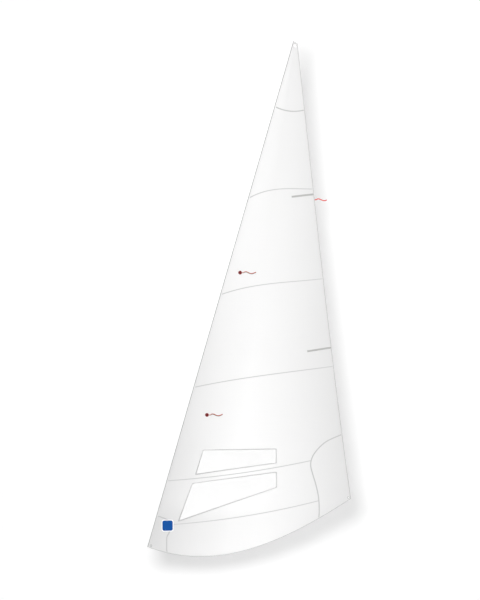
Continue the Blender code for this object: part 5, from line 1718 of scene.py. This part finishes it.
class JIB_OT_studio(bpy.types.Operator):
    """Sets up the paper floor and backdrop, the lamps, the even light and the camera"""

    bl_idname = "jib.studio"
    bl_label = "Studio"

    def execute(self, context):
        scene = context.scene
        studio = scene.jib_studio
        scene.view_settings.view_transform = "Standard"
        middle = np.array([studio.middle_aft, 0.0, studio.middle_height])
        self.add_paper(scene, middle)
        for name, (towards, size, power) in LAMPS.items():
            self.add_lamp(name, middle, Vector(towards), size, getattr(studio, power))
        self.add_world(scene, studio.sky)
        data = bpy.data.cameras.new("camera")
        data.lens = studio.lens
        camera = bpy.data.objects.new("camera", data)
        away = studio.view_height * data.lens / data.sensor_width
        data.clip_end = away * 3
        camera.location = (middle[0], -away, middle[2])
        camera.rotation_euler = (math.radians(90), 0.0, 0.0)
        scene.collection.objects.link(camera)
        scene.camera = camera
        return {"FINISHED"}

    def add_paper(self, scene, middle):
        """A wall behind the sail, which throws no shadow, and a wide floor under it."""
        studio = scene.jib_studio
        reach, far, floor = 5.4, 30.0, studio.floor_height
        wall_y, top = studio.backdrop_room, studio.middle_height + reach
        left, right = middle[0] - reach, middle[0] + reach
        wall = [(left, wall_y, floor), (right, wall_y, floor), (right, wall_y, top), (left, wall_y, top)]
        ground = [(-far, -far, floor), (far, -far, floor), (far, far, floor), (-far, far, floor)]
        paper = self.paper_material(scene.jib_finish, middle.tolist())
        for name, corners in (("paper_backdrop", wall), ("paper_floor", ground)):
            mesh = bpy.data.meshes.new(name)
            mesh.from_pydata(corners, [], [(0, 1, 2, 3)])
            mesh.materials.append(paper)
            made = bpy.data.objects.new(name, mesh)
            scene.collection.objects.link(made)
            made.visible_shadow = name != "paper_backdrop"

    def add_lamp(self, name, target, towards, size, power):
        data = bpy.data.lights.new(name, "AREA")
        data.shape = "DISK"
        data.size = size
        data.energy = power
        lamp = bpy.data.objects.new(name, data)
        lamp.location = Vector(target) + towards.normalized() * LAMP_DISTANCE
        lamp.rotation_euler = (-towards).to_track_quat("-Z", "Y").to_euler()
        lamp.visible_camera = False
        bpy.context.scene.collection.objects.link(lamp)

    def seen(self, tree):
        """1 for rays from the camera, off metal or through glass."""
        path = node(tree, "ShaderNodeLightPath").outputs
        most = maths(tree, "MAXIMUM", path["Is Camera Ray"], path["Is Glossy Ray"])
        return maths(tree, "MAXIMUM", most, path["Is Transmission Ray"])

    def paper_material(self, finish, middle):
        """White paper that keeps shadows: lit grey, with the rest of its whiteness only seen and a
        little more of it low down, passing into even white far from the sail, and clear from behind so
        that it never hides the sail.
        """
        made = bpy.data.materials.new("studio_paper")
        made.use_nodes = True
        tree = made.node_tree
        tree.nodes.clear()
        lit = node(tree, "ShaderNodeBsdfDiffuse", {"Color": solid(finish.paper)}).outputs[0]
        place = node(tree, "ShaderNodeTexCoord").outputs["Object"]
        height = node(tree, "ShaderNodeSeparateXYZ", {0: place}).outputs["Z"]
        evened = ramp(tree, height, 0.0, 4.0, 0.38, 0.39)
        seen = self.seen(tree)
        glow = node(tree, "ShaderNodeEmission", {"Strength": maths(tree, "MULTIPLY", seen, evened)})
        both = node(tree, "ShaderNodeAddShader", {0: lit, 1: glow.outputs[0]}).outputs[0]
        far = node(tree, "ShaderNodeVectorMath", {0: place, 1: middle}, operation="DISTANCE")
        white = node(tree, "ShaderNodeEmission", {"Strength": seen}).outputs[0]
        rim = ramp(tree, far.outputs["Value"], 3.4, 5.2, smooth=True)
        paper = node(tree, "ShaderNodeMixShader", {0: rim, 1: both, 2: white}).outputs[0]
        behind = node(tree, "ShaderNodeNewGeometry").outputs["Backfacing"]
        clear = node(tree, "ShaderNodeBsdfTransparent").outputs[0]
        out = node(tree, "ShaderNodeMixShader", {0: behind, 1: paper, 2: clear}).outputs[0]
        node(tree, "ShaderNodeOutputMaterial", {"Surface": out})
        return made

    def add_world(self, scene, strength):
        world = bpy.data.worlds.new("studio_light")
        world.use_nodes = True
        tree = world.node_tree
        tree.nodes.clear()
        even_light, white = (
            node(tree, "ShaderNodeBackground", {"Color": (1, 1, 1, 1), "Strength": power}).outputs[0]
            for power in (strength, 1.0)
        )
        out = node(tree, "ShaderNodeMixShader", {0: self.seen(tree), 1: even_light, 2: white}).outputs[0]
        node(tree, "ShaderNodeOutputWorld", {"Surface": out})
        scene.world = world


OPERATORS = (
    JIB_OT_sew_panels,
    JIB_OT_corner_patches,
    JIB_OT_windows,
    JIB_OT_edge_tapes,
    JIB_OT_battens,
    JIB_OT_corner_rings,
    JIB_OT_telltales,
    JIB_OT_label,
    JIB_OT_stitching,
    JIB_OT_studio,
)


class JIB_PT_sidebar(bpy.types.Panel):
    """Lists the steps of making the jib"""

    bl_label = "Jib"
    bl_idname = "JIB_PT_sidebar"
    bl_space_type = "VIEW_3D"
    bl_region_type = "UI"
    bl_category = "Jib"

    def draw(self, context):
        for operator in OPERATORS:
            self.layout.operator(operator.bl_idname)
        for group_name in GROUPS:
            settings = getattr(context.scene, group_name)
            box = self.layout.box()
            for label in settings.__annotations__:
                box.prop(settings, label)


GROUPS = {
    "jib_cut": JIB_PG_cut,
    "jib_sewing": JIB_PG_sewing,
    "jib_fittings": JIB_PG_fittings,
    "jib_finish": JIB_PG_finish,
    "jib_studio": JIB_PG_studio,
}


def register():
    for name, settings in GROUPS.items():
        bpy.utils.register_class(settings)
        setattr(bpy.types.Scene, name, PointerProperty(type=settings))
    for cls in (*OPERATORS, JIB_PT_sidebar):
        bpy.utils.register_class(cls)


def unregister():
    for cls in (JIB_PT_sidebar, *reversed(OPERATORS)):
        bpy.utils.unregister_class(cls)
    for name, settings in GROUPS.items():
        delattr(bpy.types.Scene, name)
        bpy.utils.unregister_class(settings)


def main():
    for thing in [o for o in bpy.data.objects if o.type in ("CAMERA", "LIGHT")]:
        bpy.data.objects.remove(thing)
    register()
    LOOKS.update(sail_materials(bpy.context.scene))
    for operator in OPERATORS:
        family, name = operator.bl_idname.split(".")
        getattr(getattr(bpy.ops, family), name)()
    bpy.context.view_layer.update()


if __name__ == "__main__":
    main()
